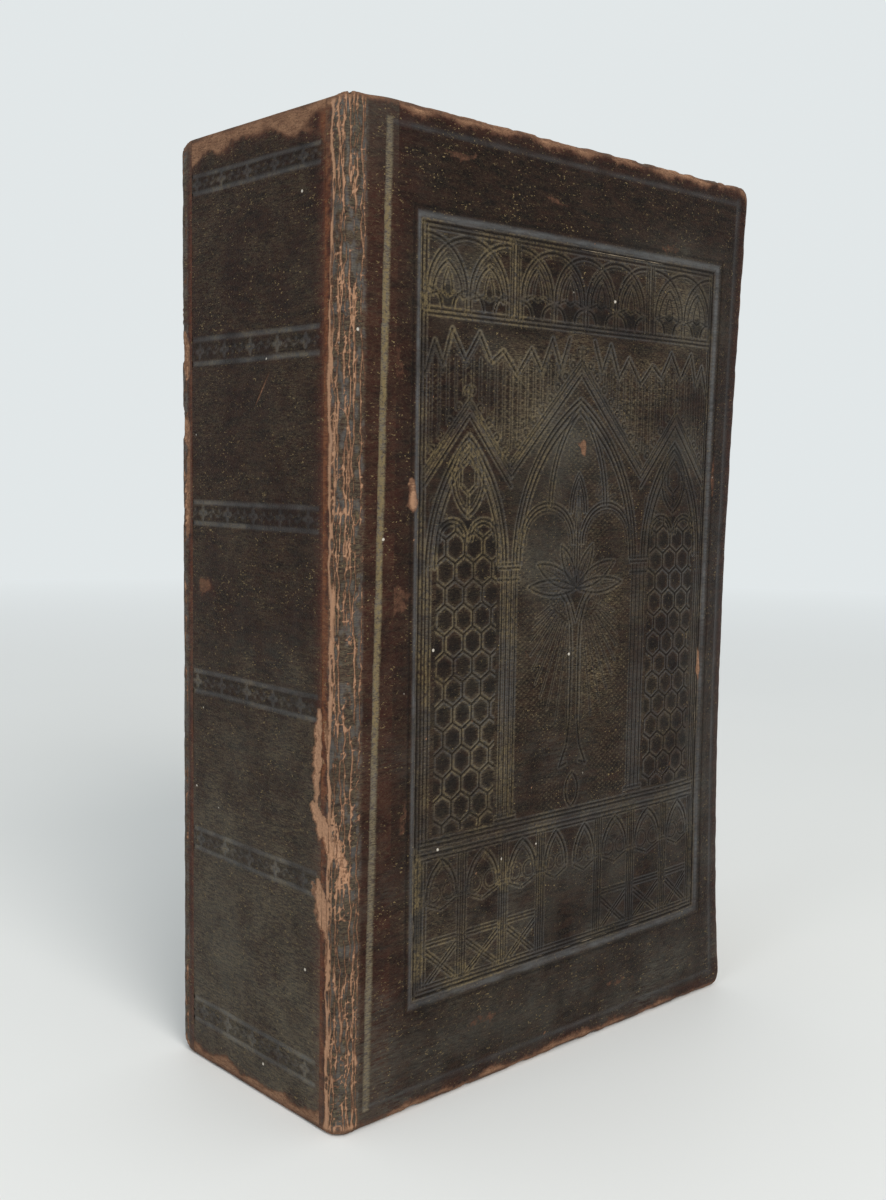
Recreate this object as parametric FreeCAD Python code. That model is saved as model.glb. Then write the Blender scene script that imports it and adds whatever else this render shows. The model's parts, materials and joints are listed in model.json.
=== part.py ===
import FreeCAD, Part
import math
import os

# A leather book standing on its tail, in millimetres.
# X runs across the cover from the spine to the fore-edge, Y through the thickness
# from the front cover to the back cover, and Z from the tail up to the head.
# The origin is on the ground, under the middle of the book.

# Overall size
book_width = 128.4
book_thickness = 59.0
book_height = 204.3

# Covers
leather_thickness = 1.0
board_thickness = 3.0
turn_in_thickness = 0.5
turn_in_width = 12.0
pastedown_thickness = 0.3
pastedown_margin = 4.0
cover_corner_radius = 3.5
board_bow = 3.6
bow_zone_width = 31.0
bow_lean = 0.75
bow_columns = 3
bow_rows = 6

# Joints between the spine and the covers
joint_radius = 3.0
joint_clearance = 0.3

# Pages
square = 3.0
page_clearance = 0.3
flyleaf_thickness = 0.25
fore_edge_hollow = 2.5

# Spine
spine_card_thickness = 0.8
spine_card_inset = 1.5
spine_lining_thickness = 0.5
spine_lining_gap = 1.0
sewing_cord_count = 5
sewing_cord_diameter = 2.0
sewing_cord_clearance = 0.05
sewing_cord_end_margin = 20.0
headband_height = 2.4
headband_depth = 2.6
headband_end_margin = 2.0
headband_roundness = 1.1

# Sunk panel and border line of the covers
panel_spine_margin = 18.3
panel_fore_margin = 12.2
panel_head_margin = 20.2
panel_tail_margin = 21.4
panel_depth = 0.45
panel_shoulder_width = 1.5
border_joint_margin = 9.5
border_edge_margin = 4.4
border_width = 1.0
line_depth = 0.25

# Stamped tracery inside the panel
tracery_margin = 1.9
tracery_line_width = 0.5
tracery_fine_width = 0.35
tracery_line_gap = 1.1
longest_flat_line = 14.0
chord_angle = 36.0
frieze_height = 16.7
frieze_stem_height = 4.2
frieze_column_width = 3.2
frieze_light_width = 9.2
frieze_lozenge_width = 5.3
frieze_lozenge_height = 4.2
frieze_bays = (2, 4, 2)
base_height = 29.0
base_sill_height = 9.5
base_capital_height = 19.0
moulding_height = 2.6
side_bay_width = 25.6
spring_height = 57.5
side_arch_rise = 27.0
side_gable_height = 91.5
side_gable_foot = 77.0
centre_arch_rise = 36.5
centre_gable_height = 103.0
centre_gable_foot = 80.0
sub_arch_rise = 11.0
oval_width = 5.8
oval_height = 14.6
oval_lozenge_width = 2.6
oval_lozenge_height = 4.6
lancet_width = 7.0
lancet_rise = 7.3
shaft_spacing = 1.25
capital_width = 5.6
lattice_pitch = 5.7
pinnacle_height = 5.5
pinnacle_unevenness = 2.2
pinnacle_count = 6
leaf_centre_height = 51.0
leaf_length = 13.5
leaf_width = 3.6
leaf_angles = (4, 62, 90, 118, 176)
ray_count = 3
ray_length = 22.0
ray_start = 6.6
ray_shortening = 5.5
ray_first_angle = 12.0
ray_spread = 50.0
staff_width = 3.0
staff_foot_width = 7.8
staff_narrowing_height = 15.3

# Tooled bands across the spine
spine_band_count = 6
spine_band_width = 5.2
spine_band_line_width = 0.9
spine_band_head_margin = 8.4
spine_band_tail_margin = 8.4
spine_band_front_margin = 7.6
spine_band_back_margin = 4.0
rosette_count = 3
rosette_radius = 1.3
rosette_waist = 0.45

# Planes and axes that follow from the sizes above
spine_face = -book_width / 2
fore_edge_face = book_width / 2
front_face = -book_thickness / 2
hinge_x = spine_face + joint_radius
cover_start = hinge_x + joint_clearance
cover_depth = leather_thickness + board_thickness + turn_in_thickness
inside_face = front_face + cover_depth + pastedown_thickness
bow_start = fore_edge_face - bow_zone_width
page_back = spine_face + leather_thickness + spine_card_thickness + spine_lining_thickness
page_end = fore_edge_face - square
page_tail = square
page_head = book_height - square
flyleaf_outer = inside_face + page_clearance
page_half_thickness = -(flyleaf_outer + flyleaf_thickness)

# How far a cut starts outside the surface that it goes into
over_cut = 1.0


def vec(x, y, z):
    return FreeCAD.Vector(x, y, z)


def box(x_from, x_to, y_from, y_to, z_from, z_to):
    return Part.makeBox(x_to - x_from, y_to - y_from, z_to - z_from, vec(x_from, y_from, z_from))


def upright_prism(outline_edges, z_from, z_to):
    """Raise a closed outline, drawn in plan, from one height to another."""
    face = Part.Face(Part.Wire(Part.__sortEdges__(outline_edges)))
    face.translate(vec(0, 0, z_from))
    return face.extrude(vec(0, 0, z_to - z_from))


def bow_at(x, z):
    """How far the warped board lies inward: nothing at the corners, most at mid fore-edge."""
    across = max(0.0, (x - bow_start) / bow_zone_width)
    up = min(max(z / book_height, 0.0), 1.0)
    return board_bow * across ** 2 * math.sin(math.pi * up ** bow_lean)


def warped_face(depth):
    """The curved strip of a cover surface next to the fore-edge, a given depth into the cover."""
    columns = [bow_start + bow_zone_width * i / (bow_columns - 1) for i in range(bow_columns)]
    rows = [book_height * j / (bow_rows - 1) for j in range(bow_rows)]
    points = [[vec(x, front_face + depth + bow_at(x, z), z) for z in rows] for x in columns]
    surface = Part.BSplineSurface()
    surface.interpolate(points)
    return surface.toShape()


def cover_slab(depth_from, depth_to):
    """A layer of the front cover between two depths, flat by the spine and warped beyond."""
    flat = box(cover_start, bow_start, front_face + depth_from, front_face + depth_to, 0, book_height)
    warped = warped_face(depth_from).extrude(vec(0, depth_to - depth_from, 0))
    return flat.fuse(warped)


def cover_outline(inset_edge, inset_spine, corner_radius):
    """A tall prism with rounded fore-edge corners, to trim a layer of the cover to its outline."""
    x_from = cover_start + inset_spine
    x_to = fore_edge_face - inset_edge
    y_from = front_face - over_cut
    y_to = over_cut - page_half_thickness + board_bow + cover_depth
    prism = box(x_from, x_to, y_from, y_to, inset_edge, book_height - inset_edge)
    if corner_radius <= 0:
        return prism
    corners = [e for e in prism.Edges if is_fore_corner(e, x_to)]
    return prism.makeFillet(corner_radius, corners)


def is_fore_corner(edge, x_to):
    ends = [v.Point for v in edge.Vertexes]
    at_fore_edge = all(abs(p.x - x_to) < 1e-6 for p in ends)
    return at_fore_edge and abs(ends[0].y - ends[1].y) > 1e-6


def cover_layer(depth_from, depth_to, inset_edge, inset_spine=0.0, corner_radius=0.0):
    slab = cover_slab(depth_from, depth_to)
    return slab.common(cover_outline(inset_edge, inset_spine, corner_radius)).removeSplitter()


def cover_board():
    depth = leather_thickness
    radius = cover_corner_radius - leather_thickness
    return cover_layer(depth, depth + board_thickness, leather_thickness, 0.0, radius)


def cover_pastedown():
    """The pasted paper with the filling that levels it between the turned-in leather."""
    board_inside = leather_thickness + board_thickness
    filling = cover_layer(board_inside, cover_depth, leather_thickness + turn_in_width)
    sheet = cover_layer(cover_depth, cover_depth + pastedown_thickness, pastedown_margin)
    return filling.fuse(sheet).removeSplitter()


def cover_leather(decoration):
    """The skin of one cover: outer face, three edges and the margins turned in over the board."""
    whole = cover_layer(0.0, cover_depth, 0.0, 0.0, cover_corner_radius)
    board_inside = leather_thickness + board_thickness
    window = cover_layer(board_inside, cover_depth, leather_thickness + turn_in_width)
    return whole.cut([cover_board(), window] + decoration)


def panel_box():
    """Outline of the sunk panel: X from, X to, Z from, Z to."""
    x_from = spine_face + panel_spine_margin
    x_to = fore_edge_face - panel_fore_margin
    return x_from, x_to, panel_tail_margin, book_height - panel_head_margin


def rectangle_face(x_from, x_to, z_from, z_to):
    """A rectangle drawn just outside the front cover, facing along the thickness."""
    y = front_face - over_cut
    corners = [vec(x_from, y, z_from), vec(x_to, y, z_from), vec(x_to, y, z_to), vec(x_from, y, z_to)]
    return Part.Face(Part.makePolygon(corners + corners[:1]))


def frame_face(x_from, x_to, z_from, z_to, width):
    outer = rectangle_face(x_from, x_to, z_from, z_to)
    return outer.cut(rectangle_face(x_from + width, x_to - width, z_from + width, z_to - width))


def sink(face, depth):
    """The space that a face drawn outside the cover presses into it, to an even depth."""
    prism = face.extrude(vec(0, book_thickness / 2, 0))
    return prism.common(cover_slab(-over_cut, depth))


def sink_line(face):
    """Press a short line into the panel's floor: a flat bottom that leans with the warped board."""
    reach = face.BoundBox
    depth = panel_depth + line_depth
    if reach.XMax <= bow_start:
        return face.extrude(vec(0, over_cut + depth, 0))
    if reach.XLength > longest_flat_line or reach.ZLength > 2 * longest_flat_line:
        return sink(face, depth)
    x, z = reach.Center.x, reach.Center.z
    step = tracery_line_width
    along_x = vec(2 * step, bow_at(x + step, z) - bow_at(x - step, z), 0)
    along_z = vec(0, bow_at(x, z + step) - bow_at(x, z - step), 2 * step)
    inward = along_z.cross(along_x)
    size = reach.DiagonalLength + 2 * over_cut
    plate = Part.makeBox(size, size, size, vec(-size / 2, -size / 2, -size))
    plate.Placement = FreeCAD.Placement(vec(x, front_face + depth + bow_at(x, z), z),
                                        FreeCAD.Rotation(vec(0, 0, 1), inward))
    return face.extrude(vec(0, size, 0)).common(plate)


def border_line():
    face = frame_face(spine_face + border_joint_margin, fore_edge_face - border_edge_margin,
                      border_edge_margin, book_height - border_edge_margin, border_width)
    return sink(face, line_depth)


def sunk_panel():
    """The hollow of the panel, with a step around it for its sloping shoulder."""
    x_from, x_to, z_from, z_to = panel_box()
    inset = panel_shoulder_width
    shoulder = rectangle_face(x_from, x_to, z_from, z_to)
    floor = rectangle_face(x_from + inset, x_to - inset, z_from + inset, z_to - inset)
    return [sink(shoulder, panel_depth / 2), sink(floor, panel_depth)]


def strip(points, width):
    """A line of even width along a run of straight stretches, mitred where it turns."""
    left, right = [], []
    for i, (x, z) in enumerate(points):
        before = points[i - 1] if i > 0 else None
        after = points[i + 1] if i + 1 < len(points) else None
        sides = [normal_of(a, b) for a, b in ((before, (x, z)), ((x, z), after)) if a and b]
        nx, nz = (sum(n[k] for n in sides) for k in (0, 1))
        stretch = width / 2 * len(sides) / (nx ** 2 + nz ** 2)
        left.append(vec(x + nx * stretch, front_face - over_cut, z + nz * stretch))
        right.append(vec(x - nx * stretch, front_face - over_cut, z - nz * stretch))
    outline = left + right[::-1]
    return Part.Face(Part.makePolygon(outline + outline[:1]))


def normal_of(start, end):
    dx, dz = end[0] - start[0], end[1] - start[1]
    length = math.hypot(dx, dz)
    return -dz / length, dx / length


def arc_strip(x, z, radius, angle_from, angle_to, width):
    """A line of even width along part of a circle, in short chords, with its angles in degrees."""
    chords = max(2, round((angle_to - angle_from) / chord_angle))
    angles = [math.radians(angle_from + (angle_to - angle_from) * i / chords) for i in range(chords + 1)]
    return strip([(x + radius * math.cos(a), z + radius * math.sin(a)) for a in angles], width)


def pointed_arch(x, z, half_width, rise, width):
    """Two arcs that start upright at the springing and meet in a point."""
    offset = (rise ** 2 - half_width ** 2) / (2 * half_width)
    radius = half_width + offset
    meet = math.degrees(math.asin(rise / radius))
    return [arc_strip(x + offset, z, radius, 180 - meet, 180, width),
            arc_strip(x - offset, z, radius, 0, meet, width)]


def tracery_box():
    x_from, x_to, z_from, z_to = panel_box()
    inset = panel_shoulder_width + tracery_margin
    return x_from + inset, x_to - inset, z_from + inset, z_to - inset


def frieze():
    """Interlaced half circles on stems, in three groups with a column between each two."""
    x_from, x_to, _, z_to = tracery_box()
    z_from = z_to - frieze_height
    bay = (x_to - x_from - 2 * frieze_column_width) / sum(frieze_bays)
    faces = [strip([(x_from, z_from), (x_to, z_from)], tracery_line_width)]
    x = x_from
    for group, bays in enumerate(frieze_bays):
        faces += frieze_group(x, bay, bays, z_from)
        x += bays * bay
        if group < 2:
            faces += [strip([(c, z_from), (c, z_to)], tracery_line_width)
                      for c in (x + tracery_line_width, x + frieze_column_width - tracery_line_width)]
            x += frieze_column_width
    return faces


def frieze_group(x_from, bay, bays, z_from):
    faces = []
    z = z_from + frieze_stem_height
    for i in range(bays + 1):
        x = x_from + i * bay
        start = 0 if i < bays else 90
        end = 180 if i > 0 else 90
        faces.append(arc_strip(x, z, bay - tracery_line_width, start, end, tracery_line_width))
    for i in range(bays):
        x = x_from + (i + 0.5) * bay
        faces += [strip([(x + shift, z_from), (x + shift, z)], tracery_fine_width)
                  for shift in (-frieze_light_width / 2, frieze_light_width / 2)]
        faces.append(diamond(x, z, frieze_lozenge_width / 2, frieze_lozenge_height / 2))
    return faces


def diamond(x, z, half_width, half_height):
    corners = [vec(x + half_width, front_face - over_cut, z), vec(x, front_face - over_cut, z + half_height),
               vec(x - half_width, front_face - over_cut, z), vec(x, front_face - over_cut, z - half_height)]
    return Part.Face(Part.makePolygon(corners + corners[:1]))


def window_lines(x, z, half_width, rise, rings):
    """Nested pointed arches, one line gap apart."""
    faces = []
    for i in range(rings):
        inset = i * tracery_line_gap
        faces += pointed_arch(x, z, half_width - inset, rise - inset * rise / half_width, tracery_line_width)
    return faces


def gable(x, z_foot, z_top, half_width):
    """A pair of raking lines over an arch."""
    faces = []
    for drop in (0.0, 2 * tracery_line_gap):
        points = [(x - half_width, z_foot - drop), (x, z_top - drop), (x + half_width, z_foot - drop)]
        faces.append(strip(points, tracery_line_width))
    return faces


def lattice(x_from, x_to, z_from, z_to):
    """Honeycomb glazing: rows of sunk six-sided panes with a net of leather left between them."""
    radius = lattice_pitch / math.sqrt(3)
    row_pitch = 1.5 * radius
    pane_radius = radius - tracery_line_width / math.sqrt(3)
    faces = []
    for row in range(int((z_to - z_from - radius) / row_pitch) + 1):
        shift = lattice_pitch / 2 if row % 2 else 0.0
        for column in range(int((x_to - x_from - lattice_pitch - shift) / lattice_pitch) + 1):
            x = x_from + (column + 0.5) * lattice_pitch + shift
            faces.append(pane(x, z_from + pane_radius + row * row_pitch, pane_radius))
    return faces


def pane(x, z, radius):
    corners = [vec(x + radius * math.sin(math.radians(60 * i)), front_face - over_cut,
                   z + radius * math.cos(math.radians(60 * i))) for i in range(6)]
    return Part.Face(Part.makePolygon(corners + corners[:1]))


def side_window(x, z_floor):
    """A gabled window of honeycomb glazing under two small arches and a pointed oval."""
    half = side_bay_width / 2 - capital_width / 4
    z = z_floor + spring_height
    faces = window_lines(x, z, half, side_arch_rise, 2)
    faces += gable(x, z_floor + side_gable_foot, z_floor + side_gable_height, side_bay_width / 2)
    light = half - 2 * tracery_line_gap
    for side in (-1, 1):
        faces += pointed_arch(x + side * light / 2, z, light / 2 - tracery_line_gap / 2, sub_arch_rise,
                              tracery_line_width)
    oval_z = z + (sub_arch_rise + side_arch_rise) / 2 + tracery_line_gap / 2
    faces += pointed_oval(x, oval_z, oval_width / 2, oval_height / 2)
    faces.append(diamond(x, oval_z, oval_lozenge_width / 2, oval_lozenge_height / 2))
    faces += lattice(x - light, x + light, z_floor + tracery_line_gap, z)
    return faces


def pointed_oval(x, z, half_width, half_height):
    offset = (half_height ** 2 - half_width ** 2) / (2 * half_width)
    radius = half_width + offset
    reach = math.degrees(math.asin(half_height / radius))
    return [arc_strip(x + offset, z, radius, 180 - reach, 180 + reach, tracery_line_width),
            arc_strip(x - offset, z, radius, -reach, reach, tracery_line_width)]


def shafts(x, z_floor):
    """A cluster of slender columns with a capital and a base."""
    z = z_floor + spring_height
    faces = [strip([(x + i * shaft_spacing, z_floor + 1.5 * tracery_line_gap), (x + i * shaft_spacing, z)],
                   tracery_fine_width) for i in (-1, 0, 1)]
    for height in (z_floor + tracery_line_gap, z, z - 1.5 * tracery_line_gap):
        faces.append(strip([(x - capital_width / 2, height), (x + capital_width / 2, height)],
                           tracery_line_width))
    return faces


def leaf(x, z, angle):
    """A lens-shaped leaf that springs from a point."""
    half = leaf_length / 2
    radius = (half ** 2 + (leaf_width / 2) ** 2) / leaf_width
    reach = math.degrees(math.asin(half / radius))
    drop = radius - leaf_width / 2
    faces = [arc_strip(0, -drop, radius, 90 - reach, 90 + reach, tracery_line_width),
             arc_strip(0, drop, radius, 270 - reach, 270 + reach, tracery_line_width)]
    placed = []
    for face in faces:
        face.translate(vec(half, 0, 0))
        face.rotate(vec(0, 0, 0), vec(0, -1, 0), angle)
        face.translate(vec(x, 0, z))
        placed.append(face)
    return placed


def leafy_cross(x, z_floor):
    """A staff that spreads into four leaves at the top, with rays hanging from them."""
    z = z_floor + leaf_centre_height
    faces = []
    for angle in leaf_angles:
        faces += leaf(x, z, angle)
    half = staff_width / 2
    foot = z_floor + 4 * tracery_line_gap
    for side in (-1, 1):
        faces.append(strip([(x + side * half / 2, z - half),
                            (x + side * half, z_floor + staff_narrowing_height),
                            (x + side * staff_foot_width / 2, foot + half)], tracery_line_width))
        for i in range(ray_count):
            part = i / (ray_count - 1)
            angle = math.radians(-90 + side * (ray_first_angle + ray_spread * part))
            length = ray_length - ray_shortening * part
            faces.append(strip([(x + ray_start * math.cos(angle), z + ray_start * math.sin(angle)),
                                (x + length * math.cos(angle), z + length * math.sin(angle))],
                               tracery_fine_width))
    faces += pointed_oval(x, foot, half, 2 * half)
    return faces


def centre_window(x, half_bay, z_floor):
    """The wide middle window with two round heads, a small lancet and the leafy cross."""
    half = half_bay - capital_width / 4
    z = z_floor + spring_height
    faces = window_lines(x, z, half, centre_arch_rise, 2)
    faces += gable(x, z_floor + centre_gable_foot, z_floor + centre_gable_height, half_bay)
    light = half - tracery_line_gap
    for side in (-1, 1):
        for inset in (0.0, tracery_line_gap):
            faces.append(arc_strip(x + side * light / 2, z, light / 2 - inset - tracery_line_width, 0, 180,
                                   tracery_line_width))
    faces += pointed_arch(x, z + light / 2, lancet_width / 2, lancet_rise, tracery_line_width)
    return faces + leafy_cross(x, z_floor)


def pinnacles(x_from, x_to, z_top):
    """The zigzag of small gables over each half of the windows."""
    faces = []
    pitch = (x_to - x_from) / (2 * pinnacle_count)
    for half in (0, 1):
        start = x_from + half * pinnacle_count * pitch
        points = []
        for i in range(2 * pinnacle_count + 1):
            low = pinnacle_height if i % 2 == 0 else 0.0
            dip = pinnacle_unevenness * ((i // 2 + half) % 2)
            points.append((start + i * pitch / 2, z_top - low - dip))
        faces.append(strip(points, tracery_line_width))
    return faces


def base_arcade(x_from, x_to, z_from):
    """A row of small pointed arches with crossed panels below, and a plain door in the middle."""
    z_top = z_from + base_height
    z_capital = z_from + base_capital_height
    z_sill = z_from + base_sill_height
    side_bay = side_bay_width / 2
    centre = (x_from + x_to) / 2
    door = (x_to - x_from - 2 * side_bay_width - 2 * side_bay) / 2
    posts = [x_from, x_from + side_bay, x_from + 2 * side_bay, x_from + 3 * side_bay]
    posts = posts + [2 * centre - p for p in posts]
    faces = []
    for x in posts:
        for side in (-1, 1):
            faces.append(strip([(x + side * shaft_spacing, z_from), (x + side * shaft_spacing, z_top)],
                               tracery_fine_width))
    for i in (0, 1, 2):
        for x in (posts[i] + side_bay / 2, 2 * centre - posts[i] - side_bay / 2):
            faces += arcade_bay(x, side_bay / 2 - 2 * shaft_spacing, z_from, z_sill, z_capital, z_top)
    half = door / 2
    for x in (centre - half, centre + half):
        faces += pointed_arch(x, z_capital, half - shaft_spacing, z_top - z_capital - tracery_line_gap,
                              tracery_line_width)
    return faces


def arcade_bay(x, half, z_from, z_sill, z_capital, z_top):
    faces = pointed_arch(x, z_capital, half, z_top - z_capital - tracery_line_gap, tracery_line_width)
    faces.append(strip([(x - half, z_sill), (x + half, z_sill)], tracery_line_width))
    z_low = z_from + tracery_line_gap
    z_high = z_sill - tracery_line_gap
    faces.append(strip([(x - half, z_low), (x + half, z_high)], tracery_line_width))
    faces.append(strip([(x - half, z_high), (x + half, z_low)], tracery_line_width))
    return faces


def tracery():
    """The whole stamped pattern of the panel, as lines sunk into its floor."""
    x_from, x_to, z_from, z_to = tracery_box()
    z_floor = z_from + base_height + moulding_height
    centre = (x_from + x_to) / 2
    half_bay = centre - x_from - side_bay_width
    faces = [frame_face(x_from, x_to, z_from, z_to, tracery_line_width)]
    faces += frieze() + pinnacles(x_from, x_to, z_to - frieze_height - tracery_line_gap)
    for side in (-1, 1):
        faces += side_window(centre + side * (half_bay + side_bay_width / 2), z_floor)
        faces += shafts(centre + side * half_bay, z_floor)
    faces += centre_window(centre, half_bay, z_floor)
    for z in (z_floor, z_floor - moulding_height):
        faces.append(strip([(x_from, z), (x_to, z)], tracery_line_width))
    faces += base_arcade(x_from, x_to, z_from)
    return [sink_line(face) for face in faces]


def spine_outline(inset):
    """Plan of the spine with its rounded corners, set in from the outer surface."""
    radius = joint_radius - inset
    x_flat = spine_face + inset
    y_side = -front_face - inset
    diagonal = radius * math.sqrt(0.5)
    front_corner = Part.Arc(vec(hinge_x, -y_side, 0), vec(hinge_x - diagonal, radius - y_side - diagonal, 0),
                            vec(x_flat, radius - y_side, 0)).toShape()
    back_corner = Part.Arc(vec(x_flat, y_side - radius, 0),
                           vec(hinge_x - diagonal, y_side - radius + diagonal, 0),
                           vec(hinge_x, y_side, 0)).toShape()
    flat = Part.makeLine(vec(x_flat, radius - y_side, 0), vec(x_flat, y_side - radius, 0))
    closing = Part.makeLine(vec(hinge_x, y_side, 0), vec(hinge_x, -y_side, 0))
    return [front_corner, flat, back_corner, closing]


def spine_prism(inset, z_from, z_to):
    return upright_prism(spine_outline(inset), z_from, z_to)


def spine_leather():
    """The skin round the spine, from joint to joint, with its head and tail turned in."""
    skin = spine_prism(0.0, 0, book_height).cut(spine_prism(leather_thickness, 0, book_height))
    turned_ends = []
    y_end = band_half_flat()
    x_from = spine_face + leather_thickness + spine_card_thickness
    for z_from in (0.0, book_height - turn_in_width):
        flap = box(x_from, page_back, -y_end, y_end, z_from, z_from + turn_in_width)
        turned_ends.append(flap)
    for z_from in (0.0, book_height - spine_card_inset):
        fold = box(spine_face + leather_thickness, page_back, -y_end, y_end, z_from, z_from + spine_card_inset)
        turned_ends.append(fold)
    return skin.fuse(turned_ends).removeSplitter().cut(spine_tooling())


def band_half_flat():
    """Half the flat width of the spine, between its rounded corners."""
    return -front_face - joint_radius


def spine_band_heights():
    """The lower edge of each tooled band, evenly spread from tail to head."""
    lowest = spine_band_tail_margin
    highest = book_height - spine_band_head_margin - spine_band_width
    step = (highest - lowest) / (spine_band_count - 1)
    return [lowest + step * i for i in range(spine_band_count)]


def rosette(y, z):
    """A small flower with four pointed petals, pressed into the spine."""
    points = []
    for i in range(8):
        reach = rosette_radius if i % 2 == 0 else rosette_radius * rosette_waist
        angle = math.radians(45 * i)
        points.append(vec(spine_face - over_cut, y + reach * math.cos(angle), z + reach * math.sin(angle)))
    face = Part.Face(Part.makePolygon(points + points[:1]))
    return face.extrude(vec(over_cut + line_depth, 0, 0))


def spine_tooling():
    """Two lines and a row of flowers for every band."""
    cuts = []
    y_from = front_face + spine_band_front_margin
    y_to = -front_face - spine_band_back_margin
    for z_low in spine_band_heights():
        for z in (z_low, z_low + spine_band_width - spine_band_line_width):
            cuts.append(box(spine_face - over_cut, spine_face + line_depth, y_from, y_to,
                            z, z + spine_band_line_width))
        for i in range(rosette_count):
            y = y_from + (y_to - y_from) * (i + 0.5) / rosette_count
            cuts.append(rosette(y, z_low + spine_band_width / 2))
    return cuts


def spine_card():
    return box(spine_face + leather_thickness, spine_face + leather_thickness + spine_card_thickness,
               -band_half_flat(), band_half_flat(), spine_card_inset, book_height - spine_card_inset)


def spine_lining():
    z_from = turn_in_width + spine_lining_gap
    return box(page_back - spine_lining_thickness, page_back, -band_half_flat(), band_half_flat(),
               z_from, book_height - z_from)


def cord_heights():
    """The height of each sewing cord, evenly spread up the back of the pages."""
    lowest = page_tail + sewing_cord_end_margin
    step = (page_head - page_tail - 2 * sewing_cord_end_margin) / (sewing_cord_count - 1)
    return [lowest + step * i for i in range(sewing_cord_count)]


def sewing_cord(z):
    """A cord lying in its groove across the back of the folded sheets."""
    length = 2 * (page_half_thickness - sewing_cord_clearance)
    radius = sewing_cord_diameter / 2
    return Part.makeCylinder(radius, length, vec(page_back + radius, -length / 2, z), vec(0, 1, 0))


def cord_groove(z):
    half = sewing_cord_diameter / 2 + sewing_cord_clearance
    length = 2 * page_half_thickness
    open_part = box(page_back - over_cut, page_back + half, -length / 2, length / 2, z - half, z + half)
    round_part = Part.makeCylinder(half, length, vec(page_back + half, -length / 2, z), vec(0, 1, 0))
    return open_part.fuse(round_part)


def page_outline():
    """Plan of the pages: flat back, swelled shoulders, thinner by the fore-edge, hollow fore-edge."""
    y = page_half_thickness
    y_back = band_half_flat()
    y_shoulder = -front_face - leather_thickness - page_clearance
    y_end = y - bow_at(page_end, warp_height())
    along = [vec(x, -y + bow_at(x, warp_height()), 0)
             for x in (bow_start, (bow_start + page_end) / 2, page_end)]
    sides = [Part.Arc(*along).toShape(), Part.Arc(*[vec(p.x, -p.y, 0) for p in along]).toShape()]
    hollow = Part.Arc(vec(page_end, -y_end, 0), vec(page_end - fore_edge_hollow, 0, 0),
                      vec(page_end, y_end, 0)).toShape()
    shoulder_x = hinge_x - page_clearance
    front = [vec(page_back, -y_back, 0), vec(shoulder_x, -y_shoulder, 0), vec(shoulder_x, -y, 0), along[0]]
    back = [vec(p.x, -p.y, 0) for p in front]
    edges = [Part.makeLine(a, b) for line in (front, back) for a, b in zip(line, line[1:])]
    edges.append(Part.makeLine(front[0], back[0]))
    return edges + sides + [hollow]


def warp_height():
    """The height at which the boards lie furthest in."""
    return book_height * 0.5 ** (1 / bow_lean)


def text_block():
    """All the leaves as one block, with a groove across the back for each cord."""
    block = upright_prism(page_outline(), page_tail, page_head)
    return block.cut([cord_groove(z) for z in cord_heights()])


def flyleaf():
    """The free endpaper, lying on the first page from the joint to the fore-edge."""
    shoulder_x = hinge_x - page_clearance
    inner = [vec(shoulder_x, -page_half_thickness, 0)]
    inner += [vec(x, -page_half_thickness + bow_at(x, warp_height()), 0)
              for x in (bow_start, (bow_start + page_end) / 2, page_end)]
    outer = [p - vec(0, flyleaf_thickness, 0) for p in inner]
    edges = [Part.makeLine(inner[0], outer[0]), Part.makeLine(inner[-1], outer[-1])]
    for side in (inner, outer):
        edges.append(Part.makeLine(side[0], side[1]))
        edges.append(Part.Arc(*side[1:]).toShape())
    return upright_prism(edges, page_tail, page_head)


def headband(z_seat, height):
    """The worked bead at the end of the spine, seated on the edges of the pages."""
    y_end = band_half_flat() - headband_end_margin
    z_from = min(z_seat, z_seat + height)
    bead = box(page_back, page_back + headband_depth, -y_end, y_end, z_from, z_from + abs(height))
    rounded = [e for e in bead.Edges if is_bead_edge(e, z_seat)]
    return bead.makeFillet(headband_roundness, rounded)


def is_bead_edge(edge, z_seat):
    ends = [v.Point for v in edge.Vertexes]
    return abs(ends[0].y - ends[1].y) > 1e-6 and all(abs(p.z - z_seat) > 1e-6 for p in ends)


def other_side(shape):
    """The same piece of the back cover, mirrored through the middle of the pages."""
    return shape.mirror(vec(0, 0, 0), vec(0, 1, 0))


def build_pieces():
    pieces = {"text_block": text_block(), "spine_leather": spine_leather()}
    pieces["spine_card"] = spine_card()
    pieces["spine_lining"] = spine_lining()
    pieces["headband"] = headband(page_head, headband_height)
    pieces["tailband"] = headband(page_tail, -headband_height)
    for number, z in enumerate(cord_heights(), start=1):
        pieces[f"sewing_cord_{number}"] = sewing_cord(z)
    leather = cover_leather([border_line()] + sunk_panel())
    pieces["front_leather"] = leather.cut(tracery())
    pieces["back_leather"] = other_side(leather)
    alike = {"board": cover_board(), "pastedown": cover_pastedown(), "flyleaf": flyleaf()}
    for name, shape in alike.items():
        pieces[f"front_{name}"] = shape
        pieces[f"back_{name}"] = other_side(shape)
    return pieces


os.makedirs("parts", exist_ok=True)
for name, shape in build_pieces().items():
    shape.exportStep(f"parts/{name}.step")
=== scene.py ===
# The looks of an old leather-bound book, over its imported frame.
import json
import math
import bpy
import numpy as np
from mathutils import Matrix, Vector


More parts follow.
